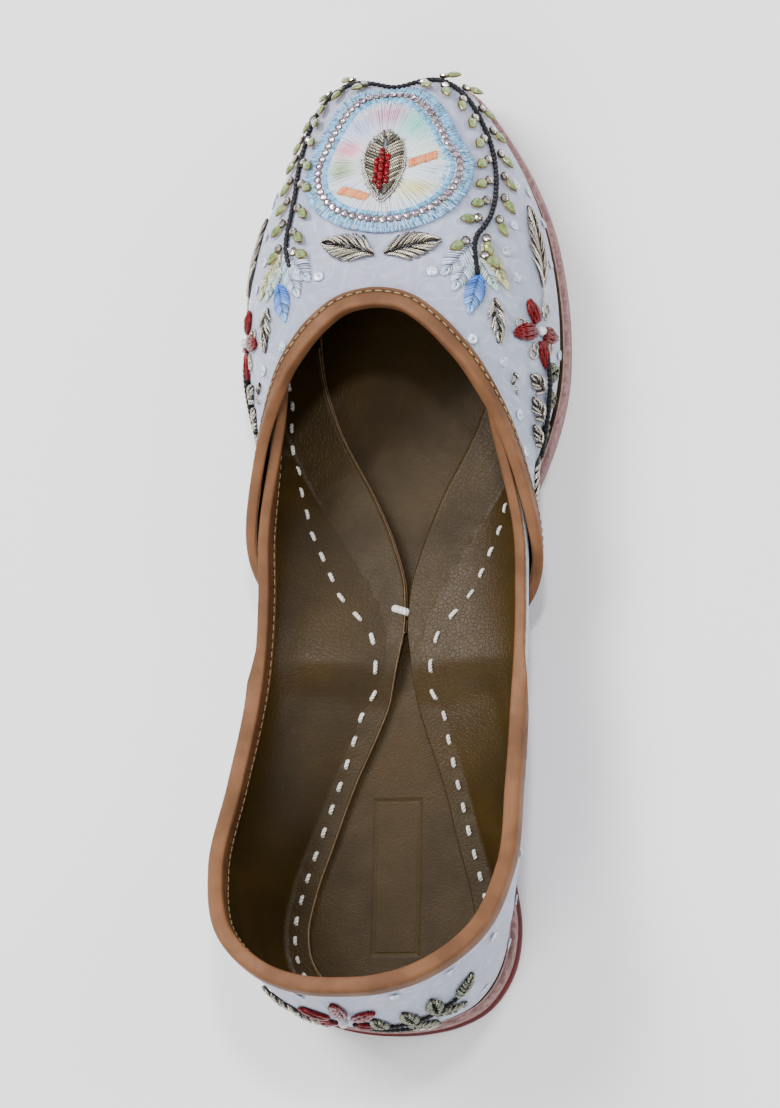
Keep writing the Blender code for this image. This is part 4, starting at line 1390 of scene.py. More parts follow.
def sole_piece(name, inset, lift, thickness, ease, finishes, slot, node, drawn_in=None):
    """A layer of the sole: its good face in one finish, its cut edge and flesh side in another."""
    rings, flat_rings = layer_rings(inset, lift, thickness, ease, drawn_in)
    points, faces = stacked(rings)
    count = len(rings[0])
    band = np.repeat(np.arange(len(rings) - 1), count)
    above, below = band > flat_rings, band < len(rings) - flat_rings - 2
    is_edge = below if drawn_in is None else above
    worn = np.zeros((len(rings), count))
    worn[flat_rings - 1 : flat_rings + 2] = 0.42
    faces = turned_out(points, faces)
    heap = Heap()
    marks = [is_edge.astype(int)] + [np.zeros(len(some)) for some in faces[1:]]
    heap.add(points, faces, edge=worn.ravel(), finish=marks)
    heap.piece(name, finishes, slot, node)


def heel_patch(stitches):
    """The patch under the heel: its outline is the sole's, a little larger, cut by a slanting
    front edge, and its faces are rings drawn toward its middle."""
    place = wrapped(np.linspace(0.5, 1.5, 1601))
    rim = outline(place) + outward(place) * LIFT_LARGER
    front = (LIFT_BREAST - 0.5) * LENGTH
    slope = LIFT_SLANT / 2 / np.abs(rim[:, 0]).max()
    kept = rim[rim[:, 1] < front + slope * rim[:, 0]]
    corners = np.vstack([kept, [kept[0]]])
    way = way_along(corners)
    even = np.linspace(0, way[-1], 361)[:-1]
    ring = np.column_stack([
        np.interp(even, way, corners[:, 0]), np.interp(even, way, corners[:, 1])
    ])
    middle = np.array([ring[:, 0].mean(), ring[:, 1].mean()])
    shares = np.concatenate([np.linspace(0.02, 0.7, 9), np.linspace(0.72, 0.985, 14)])
    ease = 0.5 * MM
    inner = 1 - ease / HEEL_HALF
    rings = []
    for share in shares:
        level = between(middle, ring, share)
        rings.append(np.column_stack([level, dimpled(level, stitches)]))
    edge = [(inner, 0.0), (1.0, ease), (1.0, HEEL_LIFT - ease / 2)]
    for share, height in edge + [(share, HEEL_LIFT) for share in (inner, 0.7, 0.3, 0.02)]:
        rings.append(np.column_stack([between(middle, ring, share), np.full(len(ring), height)]))
    points = np.concatenate(rings)
    count = len(ring)
    faces = capped(points, len(rings), count)
    worn = np.zeros((len(rings), count))
    worn[len(shares) : len(shares) + 2] = 0.5
    heap = Heap()
    heap.add(points, faces, edge=worn.ravel())
    heap.piece("heel_patch", ["heel_rubber"], "heel_rubber", "heel_lift")


def at_height(level, height):
    """Level points stood at their heights."""
    return np.concatenate([level, height[..., None]], axis=2)


def hand_stitches(heap, centres, outs, colour, thick):
    """Thick cords of thread through their centres, their ends bent into the leather."""
    share = np.linspace(-1, 1, centres.shape[1])
    centres = centres - outs * (STITCH_DIVE * share**6)[None, :, None]
    shade = 0.9 + 0.1 * scattered(len(centres), 5)
    uneven = 1 + 0.1 * scattered(len(centres), 6)[:, None]
    radii = thick * uneven * (1 - 0.12 * share**6)
    tubes(heap, centres, outs, radii, 8, 0.62, np.outer(shade, colour))


class JUTTI_OT_sole(bpy.types.Operator):
    """Make the sole, the heel patch and the insole"""

    bl_idname = "jutti.sole"
    bl_label = "Sole"

    def execute(self, context):
        made = context.scene.jutti_sole
        place = stitch_places(made.stitch_pitch)
        level, _ = stitch_line(place, STITCH_INSET, made.stitch_length * 0.7, 3)
        finishes = ("sole_red", "sole_edge")
        sole_piece(
            "red_outsole", 0.0, 0.0, SOLE, 0.5 * MM, finishes, "red_leather", "outsole", level
        )
        sole_piece(
            "brown_insole", INSOLE_INSET, SOLE + GAP, INSOLE, 0.3 * MM, ("sock", "sole_edge"),
            "lining_leather", "insole"
        )
        heel_patch(level)
        return {"FINISHED"}


class JUTTI_OT_stitches(bpy.types.Operator):
    """Sew the sole on: stitches underneath and on the flaps inside"""

    bl_idname = "jutti.stitches"
    bl_label = "Hand stitches"

    def execute(self, context):
        made = context.scene.jutti_sole
        place = stitch_places(made.stitch_pitch)
        level, share = stitch_line(place, STITCH_INSET, made.stitch_length, STITCH_STEPS)
        front = (LIFT_BREAST - 0.5) * LENGTH
        bottom = np.where(level[..., 1] < front, 0.0, under_sole(level[..., 1])) + STITCH_CLEAR
        clear = np.abs(level[:, STITCH_STEPS // 2, 1] - front) > 2.0 * MM
        down = np.array((0.0, 0.0, -1.0))
        heap = Heap()
        hand_stitches(heap, at_height(level, bottom)[clear], down, made.thread_colour, SOLE_THREAD)
        heap.piece("sole_stitches", ["thread"], "red_leather")

        heap = Heap()
        at = wrapped(place[:, None] + share).ravel()
        row = np.interp(outline(at)[:, 1] / LENGTH + 0.5, INNER_ROW[:, 0], INNER_ROW[:, 1])
        off = np.where(np.abs(at) > QUARTER_START, -WALL, LAP - WALL)
        shape = (len(place), STITCH_STEPS, 3)
        centres = over_last(at, row, off - 0.3 * MM).reshape(shape)
        hand_stitches(
            heap, centres, -facing(at, row).reshape(shape), made.thread_colour, FLAP_THREAD
        )
        across = np.linspace(-1, 1, 9)
        level = np.column_stack([-1.6 + 2.2 * across, -16.2 - 0.7 * across])[None] * MM
        height = flap_floor(level[..., 1]) + WALL + 0.45 * MM - 0.5 * MM * across**6
        hand_stitches(heap, at_height(level, height), -down, made.thread_colour, TACK_THREAD)
        heap.piece("flap_stitches", ["thread"], "lining_leather")
        return {"FINISHED"}


# The embroidery


def leaf_strokes(heap, base, tip, width, count, lean, off, radius, tint, gap=0.2, rise=0.7):
    """Strokes of a leaf: each leaves the midrib at its share of the length and reaches the edge
    further on by the lean. The edge is half the width times a sine of the share."""
    *spot, length = seat(base, tip, off)
    count = int(count)
    go = np.linspace(0, 1, 5)
    for side in (-1, 1):
        start = np.linspace(0.0, 1 - lean * 0.85, count) + 0.25 / count * scattered(count, 9 + side)
        share = start[:, None] + lean * go
        belly = np.sin(np.pi * np.clip(share, 0.02, 0.98) ** 0.85) ** 0.8
        x = side * (gap + (width / 2 * belly - gap) * go)
        y = np.clip(share, 0, 1.0) * length
        heap_up = 0.14 * scattered(count, 15 + side)[:, None]
        lift = radius / MM * 0.8 + rise * np.sin(np.pi * (0.2 + 0.75 * go)) * (0.5 + 0.5 * belly)
        lift = lift + heap_up
        centres, outs = laid(spot, np.stack([x, y], axis=2), lift, off)
        swell = radius * (1 - 0.45 * np.abs(go * 2 - 1) ** 3)
        tints = np.asarray(tint, float)
        # Each stroke lighter or darker at random: partly a tone that differs, and on bullion also
        # painted highlight and shade of the coiled metal.
        uneven = 0.4 + 0.75 * scattered(count, 3 + count + side, 0, 1) ** 0.8
        tints = uneven[:, None, None] * (tints if tints.ndim == 3 else tints[None, None])
        tubes(heap, centres, outs, swell, 6, 0.9, np.broadcast_to(tints, centres.shape))


def rib_path(knots, off, lift, count):
    """A path on the last through place and row knots, with its directions outward."""
    at = np.linspace(0, 1, count)
    knots = np.array(knots, float)
    found = curve_through(at, np.linspace(0, 1, len(knots)), knots)
    home = wrapped(found[:, 0])
    outs = facing(home, found[:, 1])
    return last(home, found[:, 1]) + outs * (off + lift), outs


def evenly(points, outs, pitch):
    """A path read again at even steps of about a pitch, with its directions outward."""
    way = way_along(points)
    at = np.linspace(0, way[-1], max(2, int(round(way[-1] / pitch)) + 1))
    read = [np.interp(at, way, points[:, k]) for k in range(3)]
    outward_read = [np.interp(at, way, outs[:, k]) for k in range(3)]
    return np.column_stack(read), unit(np.column_stack(outward_read))


def bead_string(heap, points, outs, thick, pitch, tint, round_by=0.28):
    """Beads threaded along a path: a tube whose radius dips between beads as the square root of a
    sine does."""
    fine, fine_outs = evenly(points, outs, pitch / 6)
    phase = np.arange(len(fine)) / 6
    radius = thick / 2 * (1 - round_by + round_by * np.abs(np.sin(np.pi * phase)) ** 0.5)
    tubes(heap, fine[None], fine_outs[None], radius[None], 8, 0.9, tint)


BUGLE = turned([(0.55, -0.5), (1.0, -0.44), (1.0, 0.44), (0.55, 0.5)], 7)
STONE = turned([(0.3, -0.55), (1.0, 0.0), (0.98, 0.12), (0.62, 0.5), (0.34, 0.56)], 8, 0.5)
CUP = turned([(0.6, -0.7), (1.08, -0.5), (1.16, 0.12), (0.98, 0.2), (0.9, 0.0)], 8)
BALL = turned([(0.3, -0.94), (0.78, -0.6), (1.0, 0.0), (0.78, 0.6), (0.3, 0.94)], 8)
SEQUIN = turned(
    [(0.36, 0.06), (0.62, -0.1), (1.0, 0.14), (0.98, 0.22), (0.62, 0.0), (0.36, 0.16)], 14
)

STONE_FINISHES = ("crystal", "claw_metal")


def drop_shape():
    """A teardrop stone: ten sides whose radius is a cosine toward the round end and a straight
    taper toward the point, with a flat top."""
    angle = np.arange(10) / 10 * 2 * np.pi
    reach = np.where(np.cos(angle) > 0, 1 + 0.55 * np.cos(angle) ** 3, 1.0)
    points = []
    for radius, height in ((0.5, -0.5), (1.0, 0.0), (0.92, 0.2), (0.5, 0.55)):
        ring = np.column_stack([radius * 0.78 * np.sin(angle), radius * reach * np.cos(angle)])
        points.append(np.column_stack([ring, np.full(10, height)]))
    points = np.concatenate(points)
    return points, capped(points, 4, 10)


DROP = drop_shape()


# The medallion's spot: its axes are level, x to the right and y to the toe
TOE_SPOT = (np.array(MEDALLION_SEAT), np.array([1.0, 0, 0]), np.array([0, 1.0, 0]))


def ring_curve(turns):
    """The medallion's chain line at shares of the way round it, and its directions outward and
    ahead."""
    closed = np.vstack([RING[-3:], RING, RING[:4]])
    way = way_along(closed)
    start, end = way[3], way[3 + len(RING)]
    at = start + (turns % 1.0) * (end - start)
    found = curve_through(at, way, closed)
    ahead = curve_through(at + 0.2, way, closed) - curve_through(at - 0.2, way, closed)
    ahead = unit(ahead)
    return found, np.column_stack([ahead[:, 1], -ahead[:, 0]]) * -1, ahead


def levelled(vectors, outs):
    """Vectors laid flat against a face, at length 1."""
    return unit(vectors - outs * (vectors * outs).sum(-1, keepdims=True))


def framed(along, outs):
    """Axes for copies: x along, y across and z outward."""
    along = levelled(along, outs)
    return np.stack([along, np.cross(outs, along), outs], axis=1)


def on_toe(flat, lift):
    """Flat coordinates laid round the medallion's seat, and the directions outward."""
    return laid(TOE_SPOT, flat, lift, LAP, 10)


def stood(flat, ahead, lift):
    """Points on the toe, with axes for copies whose x goes ahead."""
    points, outs = on_toe(flat, lift)
    tips, _ = on_toe(flat + ahead * 0.5, lift)
    return points, framed(unit(tips - points), outs)


def medallion_height(flat):
    """The padding's rise in millimetres: highest under the teardrop, and easing to the rim."""
    far = np.hypot(flat[..., 0], flat[..., 1] - 3.0) / 21.0
    return 0.55 + 0.35 * np.exp(-((far / 0.35) ** 2))


def gem_edge(turn):
    """The teardrop's outline at turns from the toe, clockwise, 0 to 2."""
    half = np.where(turn > 1, 2 - turn, turn)
    radius = table_at(half, GEM)
    angle = turn * np.pi
    flat = np.column_stack([np.sin(angle) * radius, np.cos(angle) * radius])
    return flat + GEM_MIDDLE


def medallion_padding():
    """The padded base: rings from a vertical rim inward to the middle, laid on the vamp."""
    turns = np.arange(120) / 120
    ring, out, _ = ring_curve(turns)
    rim = ring + out * 3.5
    middle = np.array([0.0, 3.0])
    rings = [(share, 0.15) for share in (0.05, 0.4, 0.7, 0.9, 0.94)]
    rings += [(1.0, 0.2), (0.995, 0.4), (0.97, 0.5), (0.93, 0.55)]
    rings += [(share, None) for share in np.linspace(0.86, 0.05, 9)]
    points = []
    for share, lift in rings:
        flat = middle + (rim - middle) * share
        points.append(on_toe(flat, medallion_height(flat) if lift is None else lift)[0])
    points = np.concatenate(points)
    heap = Heap()
    heap.add(points, capped(points, len(rings), len(turns)))
    heap.piece("medallion_padding", ["padding"], node="toe_medallion")


def floss_colour(flat):
    """White floss with soft patches of colour, each a bell curve round its middle."""
    colour = np.ones((*flat.shape[:-1], 3)) * (0.8, 0.84, 0.9)
    for x, y, wide, tall, red, green, blue in FLOSS_PATCHES:
        near = np.exp(-(((flat[..., 0] - x) / wide) ** 2) - ((flat[..., 1] - y) / tall) ** 2)
        share = np.clip(near * 1.15, 0, 1)[..., None]
        colour = between(colour, np.array((red, green, blue)), share)
    return colour


def medallion_bands(context):
    """Bands outside and inside the stone chain, each two rows of short beads laid across it."""
    made = context.scene.jutti_beads
    width = made.band_width / MM
    heap = Heap()
    rows = ((2.95, 212, 0.8, 1), (1.6, 196, 1.0, 2), (-1.6, 150, 1.0, 3), (-2.85, 138, 0.95, 4))
    for reach, count, lift, seed in rows:
        turns = (np.arange(count) + 0.5 * (seed % 2)) / count
        ring, out, _ = ring_curve(turns)
        middle = ring + out * (reach + 0.06 * scattered(count, seed)[:, None])
        points, axes = stood(middle, out, lift)
        size = np.array((0.34, 0.34, width / 2))
        tint = mottled(made.band_colour, count, seed + 20, 0.45, 0.04)
        repeated(heap, BUGLE, points, axes[:, [1, 2, 0]], size * MM, tint)
    heap.piece("medallion_bead_bands", ["bugle_glass"])


def medallion_chain(context):
    """The chain of round stones in metal cups, the stones tinted with painted glints."""
    count = context.scene.jutti_beads.chain_stones
    turns = np.arange(count) / count
    ring, _, ahead = ring_curve(turns)
    points, axes = stood(ring, ahead, 1.5)
    heap = Heap()
    # Each stone's tint is a painted glint: brighter or darker and pinker at random, for the sparkle
    # of the cut glass.
    hue = scattered(count, 41)
    glint = 0.45 + 0.55 * scattered(count, 42, 0, 1) ** 0.5
    tint = np.column_stack([0.96 + 0.04 * hue, 0.84 - 0.1 * np.abs(hue), 0.95 + 0.05 * hue])
    tint = tint * glint[:, None]
    repeated(heap, STONE, points, axes, 0.92 * MM, tint)
    repeated(heap, CUP, points, axes, 0.92 * MM, (0.16, 0.14, 0.14), 1)
    heap.piece("medallion_stone_chain", STONE_FINISHES, smooth=False)


def medallion_floss():
    """Long floss stitches from the teardrop out to the inner band, in two overlapping rounds."""
    heap = Heap()
    go = np.linspace(0, 1, 6)
    for count, near, far, lift, seed in ((230, 0.02, 0.66, 0.95, 7), (270, 0.46, 1.0, 0.82, 8)):
        turns = (np.arange(count) + 0.3 * scattered(count, seed)) / count
        ring, out, _ = ring_curve(turns)
        outer = ring - out * 3.3
        angle = np.arctan2(outer[:, 0] - GEM_MIDDLE[0], outer[:, 1] - GEM_MIDDLE[1]) / np.pi
        inner = gem_edge(angle % 2.0)
        uneven = 0.09 * scattered(count, seed + 3)
        share = (near + uneven)[:, None] + (far - near - uneven)[:, None] * go
        share = np.clip(share, 0, 1)
        flat = between(inner[:, None], outer[:, None], share[..., None])
        rise = lift + 0.18 * np.sin(np.pi * go) + 0.05 * scattered(count, seed + 5)[:, None]
        centres, outs = on_toe(flat, rise)
        light = 1 + 0.1 * scattered(count, seed + 9)[:, None, None]
        tubes(heap, centres, outs, 0.21 * MM, 5, 0.8, np.clip(floss_colour(flat) * light, 0, 1))
    bars = (((5.6, -1.0), (11.8, 1.8), 2.3, 0.0), ((-11.2, -7.6), (-4.6, -10.2), 2.3, 0.3))
    for start, end, wide, shift in bars:
        start, end = np.array(start), np.array(end)
        ahead = unit(end - start)
        side = np.array([-ahead[1], ahead[0]])
        share = np.linspace(0, 1, 17)
        middle = start + (end - start) * share[:, None]
        across = np.linspace(-0.5, 0.5, 6) * wide
        lean = (side + 0.35 * ahead)[None, None] * across[None, :, None]
        flat = middle[:, None] + lean
        rise = 1.25 + 0.35 * np.cos(np.linspace(-1.3, 1.3, 6))
        centres, outs = on_toe(flat, rise)
        hot = np.array((0.86, 0.2 + 0.1 * shift, 0.05))
        soft = np.array((0.88, 0.42, 0.22))
        tint = hot + (soft - hot) * np.abs(scattered(17, 31))[:, None]
        tubes(heap, centres, outs, 0.25 * MM, 5, 0.8, tint)
    heap.piece("medallion_floss", ["floss"])


def medallion_gem(context):
    """The teardrop: a padded heap of dark bullion in chevrons, each row painted lighter or darker
    as painted highlight and shade, an outline of bright cord, and a strip of red glass down its
    middle."""
    made = context.scene.jutti_beads
    heap = Heap()
    turn = np.linspace(0, 2, 121)
    edge = gem_edge(turn)
    for grow, lift, thick in ((1.0, 1.35, 0.3), (0.92, 1.6, 0.24)):
        centres, outs = on_toe(GEM_MIDDLE + (edge - GEM_MIDDLE) * grow, lift)
        tubes(heap, centres[None], outs[None], thick * MM, 6, 1.0, (0.72, 0.68, 0.62))
    rows = np.linspace(-9.2, 7.6, 20)
    go = np.linspace(0, 1, 5)
    for side in (-1, 1):
        start = np.column_stack([np.full(len(rows), side * 0.5), rows - 0.8])
        half = np.interp(rows, [-11.6, -8, -4, 0, 4, 8.2], [0.2, 3.2, 5.0, 5.4, 4.4, 0.3])
        end = np.column_stack([side * half * 0.94, rows + 1.7])
        flat = between(start[:, None], end[:, None], go[:, None])
        flat[..., 0] += GEM_MIDDLE[0]
        rise = 1.5 + 0.75 * np.cos(go * 1.35)
        centres, outs = on_toe(flat, rise)
        # shine: each row of strokes painted brighter or darker, a painted highlight and shade on
        # the metal
        shine = 0.18 + 0.62 * np.abs(scattered(len(rows), 51 + side)) ** 1.4
        dark = np.array((0.7, 0.64, 0.5)) * shine[:, None]
        tubes(heap, centres, outs, 0.42 * MM, 6, 0.9, dark)
    heap.piece("teardrop_bullion", ["bullion"])

    heap = Heap()
    columns = ((-1.6, -7.0, 0.4, 2.45), (-0.1, -8.8, 3.0, 2.8), (1.4, -7.2, 1.4, 2.45))
    for offset, low, high, lift in columns:
        count = max(2, int(round((high - low) / 2.3)))
        y = np.linspace(low, high, count + 1)
        middle = (y[:-1] + y[1:]) / 2
        flat = np.column_stack([np.full(count, GEM_MIDDLE[0] - 0.2 + offset), middle])
        points, axes = stood(flat, np.array((0.0, 1.0)), lift)
        size = np.column_stack([np.full(count, 0.8), np.full(count, 0.62), np.diff(y) * 0.96])
        tint = mottled(made.red_colour, count, 61, 0.45)
        repeated(heap, BUGLE, points, axes[:, [1, 2, 0]], size * MM, tint)
    heap.piece("teardrop_red_beads", ["bugle_glass"])


def bullion_leaf(heap, base, tip, width, count, lean, off, tint):
    """A leaf of bullion: a flat dark bed of strokes as painted shade in the gaps between strokes,
    and bright strokes heaped over it.
    """
    # The dark bed stands in for the shade between the bright strokes: painted shade, not a real
    # backing.
    gap_shade = np.array(tint) * 0.16
    leaf_strokes(heap, base, tip, width * 0.66, count * 0.6, lean, off, 0.5 * MM, gap_shade, 0.1, 0.1)
    leaf_strokes(heap, base, tip, width, count * 0.95, lean, off, 0.36 * MM, tint, 0.3, 1.0)


class JUTTI_OT_medallion(bpy.types.Operator):
    """Lay the round medallion on the toe"""

    bl_idname = "jutti.medallion"
    bl_label = "Medallion"

    def execute(self, context):
        medallion_padding()
        medallion_bands(context)
        medallion_chain(context)
        medallion_floss()
        medallion_gem(context)
        heap = Heap()
        colour = context.scene.jutti_beads.bullion_colour
        bases = toe_rows(np.array(LEAF_ENDS))
        for base, tip in ((bases[0], bases[1]), (bases[2], bases[3])):
            bullion_leaf(heap, base, tip, 7.6, 11, 0.36, LAP, colour)
        heap.piece("medallion_leaves", ["bullion"])
        return {"FINISHED"}


def toe_rows(flat):
    """Flat coordinates round the medallion's seat as place and row."""
    way = np.column_stack([flat * MM, np.zeros(len(flat))])
    place, row = MEDALLION_SEAT
    return np.column_stack(walked(np.full(len(way), place), np.full(len(way), row), way, 10))


def stones_beside(points, outs, side, start, pitch):
    """Where stones and drops stand beside a vine: a stone a little off it on that side, and a drop
    further off and back toward the throat. Gives both sets of points, axes and outward."""
    fine, fine_outs = evenly(points, outs, 0.25 * MM)
    way = np.arange(len(fine)) * 0.25 * MM
    at = np.arange(start, way[-1] - 2 * MM, pitch)
    index = (at / (0.25 * MM)).astype(int)
    ahead = unit(np.gradient(fine, axis=0))[index]
    out = fine_outs[index]
    across = unit(np.cross(ahead, out)) * side
    stone = fine[index] + across * STONE_AWAY * MM
    hang = unit(across * 0.75 + ahead * 0.65)
    drop = stone + hang * DROP_AWAY * MM
    axes = np.stack([np.cross(hang, out), hang, out], axis=1)
    return stone, drop, axes, out


class JUTTI_OT_vines(bpy.types.Operator):
    """Lay the black beaded vines with their stones and drops"""

    bl_idname = "jutti.vines"
    bl_label = "Vines"

    def execute(self, context):
        made = context.scene.jutti_beads
        cords, stones, drops = Heap(), Heap(), Heap()
        for knots, seed in ((RIGHT_VINE, 70), (LEFT_VINE, 80)):
            points, outs = rib_path(knots, LAP, made.vine_thickness * 0.5, 200)
            bead_string(cords, points, outs, made.vine_thickness, BEAD_PITCH, (0.012, 0.011, 0.014))
            turn = 1 if knots is RIGHT_VINE else -1
            for side, start, pitch in ((-1, 8.5 * MM, 6.8 * MM), (1, 12.0 * MM, 6.8 * MM)):
                stone, drop, axes, out = stones_beside(points, outs, side * turn * -1, start, pitch)
                stone = stone + out * 0.5 * MM
                drop = drop + out * 0.3 * MM
                clear = mottled((0.72, 0.66, 0.6), len(stone), seed + side, 0.15)
                green = mottled(made.drop_colour, len(stone), seed + side, 0.15)
                repeated(stones, STONE, stone, axes, 1.05 * MM, clear)
                repeated(stones, CUP, stone, axes, 1.1 * MM, (0.12, 0.09, 0.05), 1)
                repeated(drops, DROP, drop, axes, np.array((1.55, 1.55, 1.2)) * MM, green)
                seats = drop - out * 0.3 * MM
                gold = (0.2, 0.13, 0.04)
                repeated(stones, DROP, seats, axes, np.array((1.85, 1.8, 0.7)) * MM, gold, 1)
        cords.piece("black_vines", ["cord_beads"])
        stones.piece("vine_stones", STONE_FINISHES, smooth=False)
        drops.piece("vine_drops", ["drop_glass"], smooth=False)
        return {"FINISHED"}


def petal_beads(heap, base, tip, width, off, tint):
    """A petal: rows of red glass from its base to its tip, spread as a sine of the share, over a
    rounded rise."""
    *spot, length = seat(base, tip, off)
    go = np.linspace(0, 1, 13)
    lanes = np.linspace(-1, 1, 4)
    for lane in lanes:
        reach = 1 - 0.14 * lane * lane
        y = (0.04 + 0.94 * go * reach) * length
        x = lane * (width / 2 - 0.6) * np.sin(np.pi * (0.12 + 0.8 * go)) ** 0.7
        rise = 0.55 + 0.75 * (1 - lane * lane * 0.75) * np.sin(np.pi * (0.08 + 0.84 * go))
        centres, outs = laid(spot, np.column_stack([x, y])[None], rise, off)
        bead_string(heap, centres[0], outs[0], 1.35 * MM, 2.6 * MM, tint, 0.25)


def flower_loops(heap, middle, around, off, tint):
    """Small silver loops between the petals: each an arc from the middle out and back."""
    for tip in around:
        *spot, length = seat(middle, tip, off)
        angle = np.linspace(-0.85, 0.85, 11) * np.pi
        for grow in (0.7, 1.0):
            x = 1.3 * grow * np.sin(angle)
            y = length * 0.62 * grow + 1.5 * grow * np.cos(angle) + 0.6
            centres, outs = laid(spot, np.column_stack([x, y])[None], 0.45, off)
            tubes(heap, centres, outs, 0.34 * MM, 6, 1.0, tint)


def both_ways(rows, columns):
    """Rows for the right side and the same mirrored to the left: the place columns change sign."""
    mirrored = np.array(rows, float)
    mirrored[:, columns] *= -1
    return np.vstack([rows, mirrored])


class JUTTI_OT_sprays(bpy.types.Operator):
    """Lay the flowers, leaves, plumes and stems on both sides and at the heel"""

    bl_idname = "jutti.sprays"
    bl_label = "Flowers and leaves"

    def execute(self, context):
        made = context.scene.jutti_beads
        silver = np.array(made.bullion_colour)
        olive = np.array((0.22, 0.23, 0.17))
        bullion, floss, red, cords, pearls = (Heap() for _ in range(5))
        leaves = (
            (both_ways(SILVER_LEAVES, [0, 2]), silver, LAP),
            (both_ways(OLIVE_LEAVES, [0, 2]), olive, LAP), (HEEL_SILVER, silver, 0.0),
            (HEEL_LEAVES, olive * 1.3, 0.0)
        )
        for rows, tint, off in leaves:
            for row in rows:
                bullion_leaf(bullion, row[:2], row[2:4], row[4], row[5], row[6], off, tint)
        for row in both_ways(PLUMES, [0, 2]):
            count = 15
            share = np.linspace(0, 1, count)[:, None, None]
            tint = between(row[5:8], row[8:11], share)
            leaf_strokes(
                floss, row[:2], row[2:4], row[4], count, 0.16, LAP, 0.3 * MM, tint, 0.05, 0.5
            )
        for side in (1, -1):
            for knots, thick, tint in zip(FLOWER_STEMS, (1.6, 0.7), ((0.012,) * 3, tuple(silver))):
                mirrored = knots * np.array([side, 1])
                points, outs = rib_path(mirrored, LAP, thick * MM * 0.8, 60)
                heap = cords if thick > 1 else bullion
                bead_string(heap, points, outs, thick * MM, BEAD_PITCH, tint)
            for row in PETALS:
                base, tip = row[:2] * (side, 1), row[2:4] * (side, 1)
                petal_beads(red, base, tip, row[4], LAP, made.red_colour)
            middle = np.array(FLOWER_MIDDLE) * (side, 1)
            flower_loops(bullion, middle, FLOWER_LOOPS * (side, 1), LAP, silver)
            self.pearl(pearls, middle, LAP)
        for knots in HEEL_STEMS:
            points, outs = rib_path(knots, 0.0, 0.65 * MM, 60)
            bead_string(cords, points, outs, 1.3 * MM, BEAD_PITCH, (0.012,) * 3)
        for row in HEEL_PETALS:
            petal_beads(red, row[:2], row[2:4], row[4], 0.0, made.red_colour)
        self.pearl(pearls, HEEL_MIDDLE, 0.0)
        bullion.piece("spray_bullion", ["bullion"])
        floss.piece("spray_floss", ["floss"])
        red.piece("red_petals", ["bugle_glass"])
        cords.piece("flower_stems", ["cord_beads"])
        pearls.piece("flower_pearls", ["bugle_glass"])
        return {"FINISHED"}

    @staticmethod
    def pearl(heap, at, off):
        """One white bead in a flower's middle."""
        place = np.array([wrapped(at[0])])
        row = np.array([at[1]])
        out = facing(place, row)
        points = last(place, row) + out * (off + 1.1 * MM)
        axes = framed(slopes(place, row)[0], out)
        repeated(heap, BALL, points, axes, 1.3 * MM, (0.78, 0.8, 0.82))


class JUTTI_OT_sequins(bpy.types.Operator):
    """Scatter the ring sequins, each held by a small bead"""

    bl_idname = "jutti.sequins"
    bl_label = "Sequins"

    def execute(self, context):
        heap = Heap()
        for rows, off in (
            (both_ways(VAMP_SEQUINS, [0]), LAP), (both_ways(QUARTER_SEQUINS, [0]), 0.0)
        ):
            place, row = rows[:, 0], rows[:, 1]
            out = facing(place, row)
            along = levelled(slopes(place, row)[0], out)
            tilt = 0.12 * scattered(len(rows), 91)[:, None]
            axes = framed(along, unit(out + along * tilt))
            points = last(place, row) + out * (off + 0.35 * MM)
            tint = mottled((0.7, 0.77, 0.9), len(rows), 93, 0.06)
            repeated(heap, SEQUIN, points, axes, 1.4 * MM, tint)
            repeated(heap, BALL, points + out * 0.05 * MM, axes, 0.36 * MM, (0.5, 0.55, 0.66))
        heap.piece("ring_sequins", ["sequin_film"])
        return {"FINISHED"}


# The stage

CAMERA_AZIMUTH = 53.0
CAMERA_ELEVATION = 71.4
CAMERA_ROLL = -53.2
CAMERA_DISTANCE = 1.2
VIEW_HEIGHT = 0.29
VIEW_MIDDLE = (-0.0051, 0.0008)
SENSOR = 36.0
FLOOR_HALF = 4.0

# Lamps: name, place, width and share of the key light's power
LAMPS = (
    ("key_light", (-0.7, 0.6, 1.15), 0.7, 1.1), ("side_light", (0.95, 0.25, 0.75), 0.5, 0.22),
    ("back_light", (-0.5, -0.9, 0.9), 0.6, 0.35), ("spark_light", (0.3, 0.35, 1.3), 0.12, 0.35)
)
LAMP_TARGET = (0.0, 0.0, 0.02)


def camera_axes():
    """Right, up and back of the camera, from its azimuth, elevation and roll."""
    a, e, r = np.radians([CAMERA_AZIMUTH, CAMERA_ELEVATION, CAMERA_ROLL])
    back = np.array([np.sin(a) * np.cos(e), -np.cos(a) * np.cos(e), np.sin(e)])
    right = np.array([np.cos(a), np.sin(a), 0.0])
    up = np.cross(back, right)
    return np.cos(r) * right + np.sin(r) * up, -np.sin(r) * right + np.cos(r) * up, back


def stood_at(name, data, axes, at):
    """A lamp or camera at a point, its axes right, up and back."""
    obj = bpy.data.objects.new(name, data)
    rows = [[*(axis[k] for axis in axes), at[k]] for k in range(3)]
    obj.matrix_world = Matrix(rows + [[0, 0, 0, 1]])
    bpy.context.scene.collection.objects.link(obj)
    return obj


def axes_toward(at, toward):
    """Right, up and back at a point, for a lamp that faces another point."""
    back = unit(np.array(at, float) - np.array(toward, float))
    side = unit(np.cross((0.0, 0.02, 1.0), back))
    return side, np.cross(back, side), back


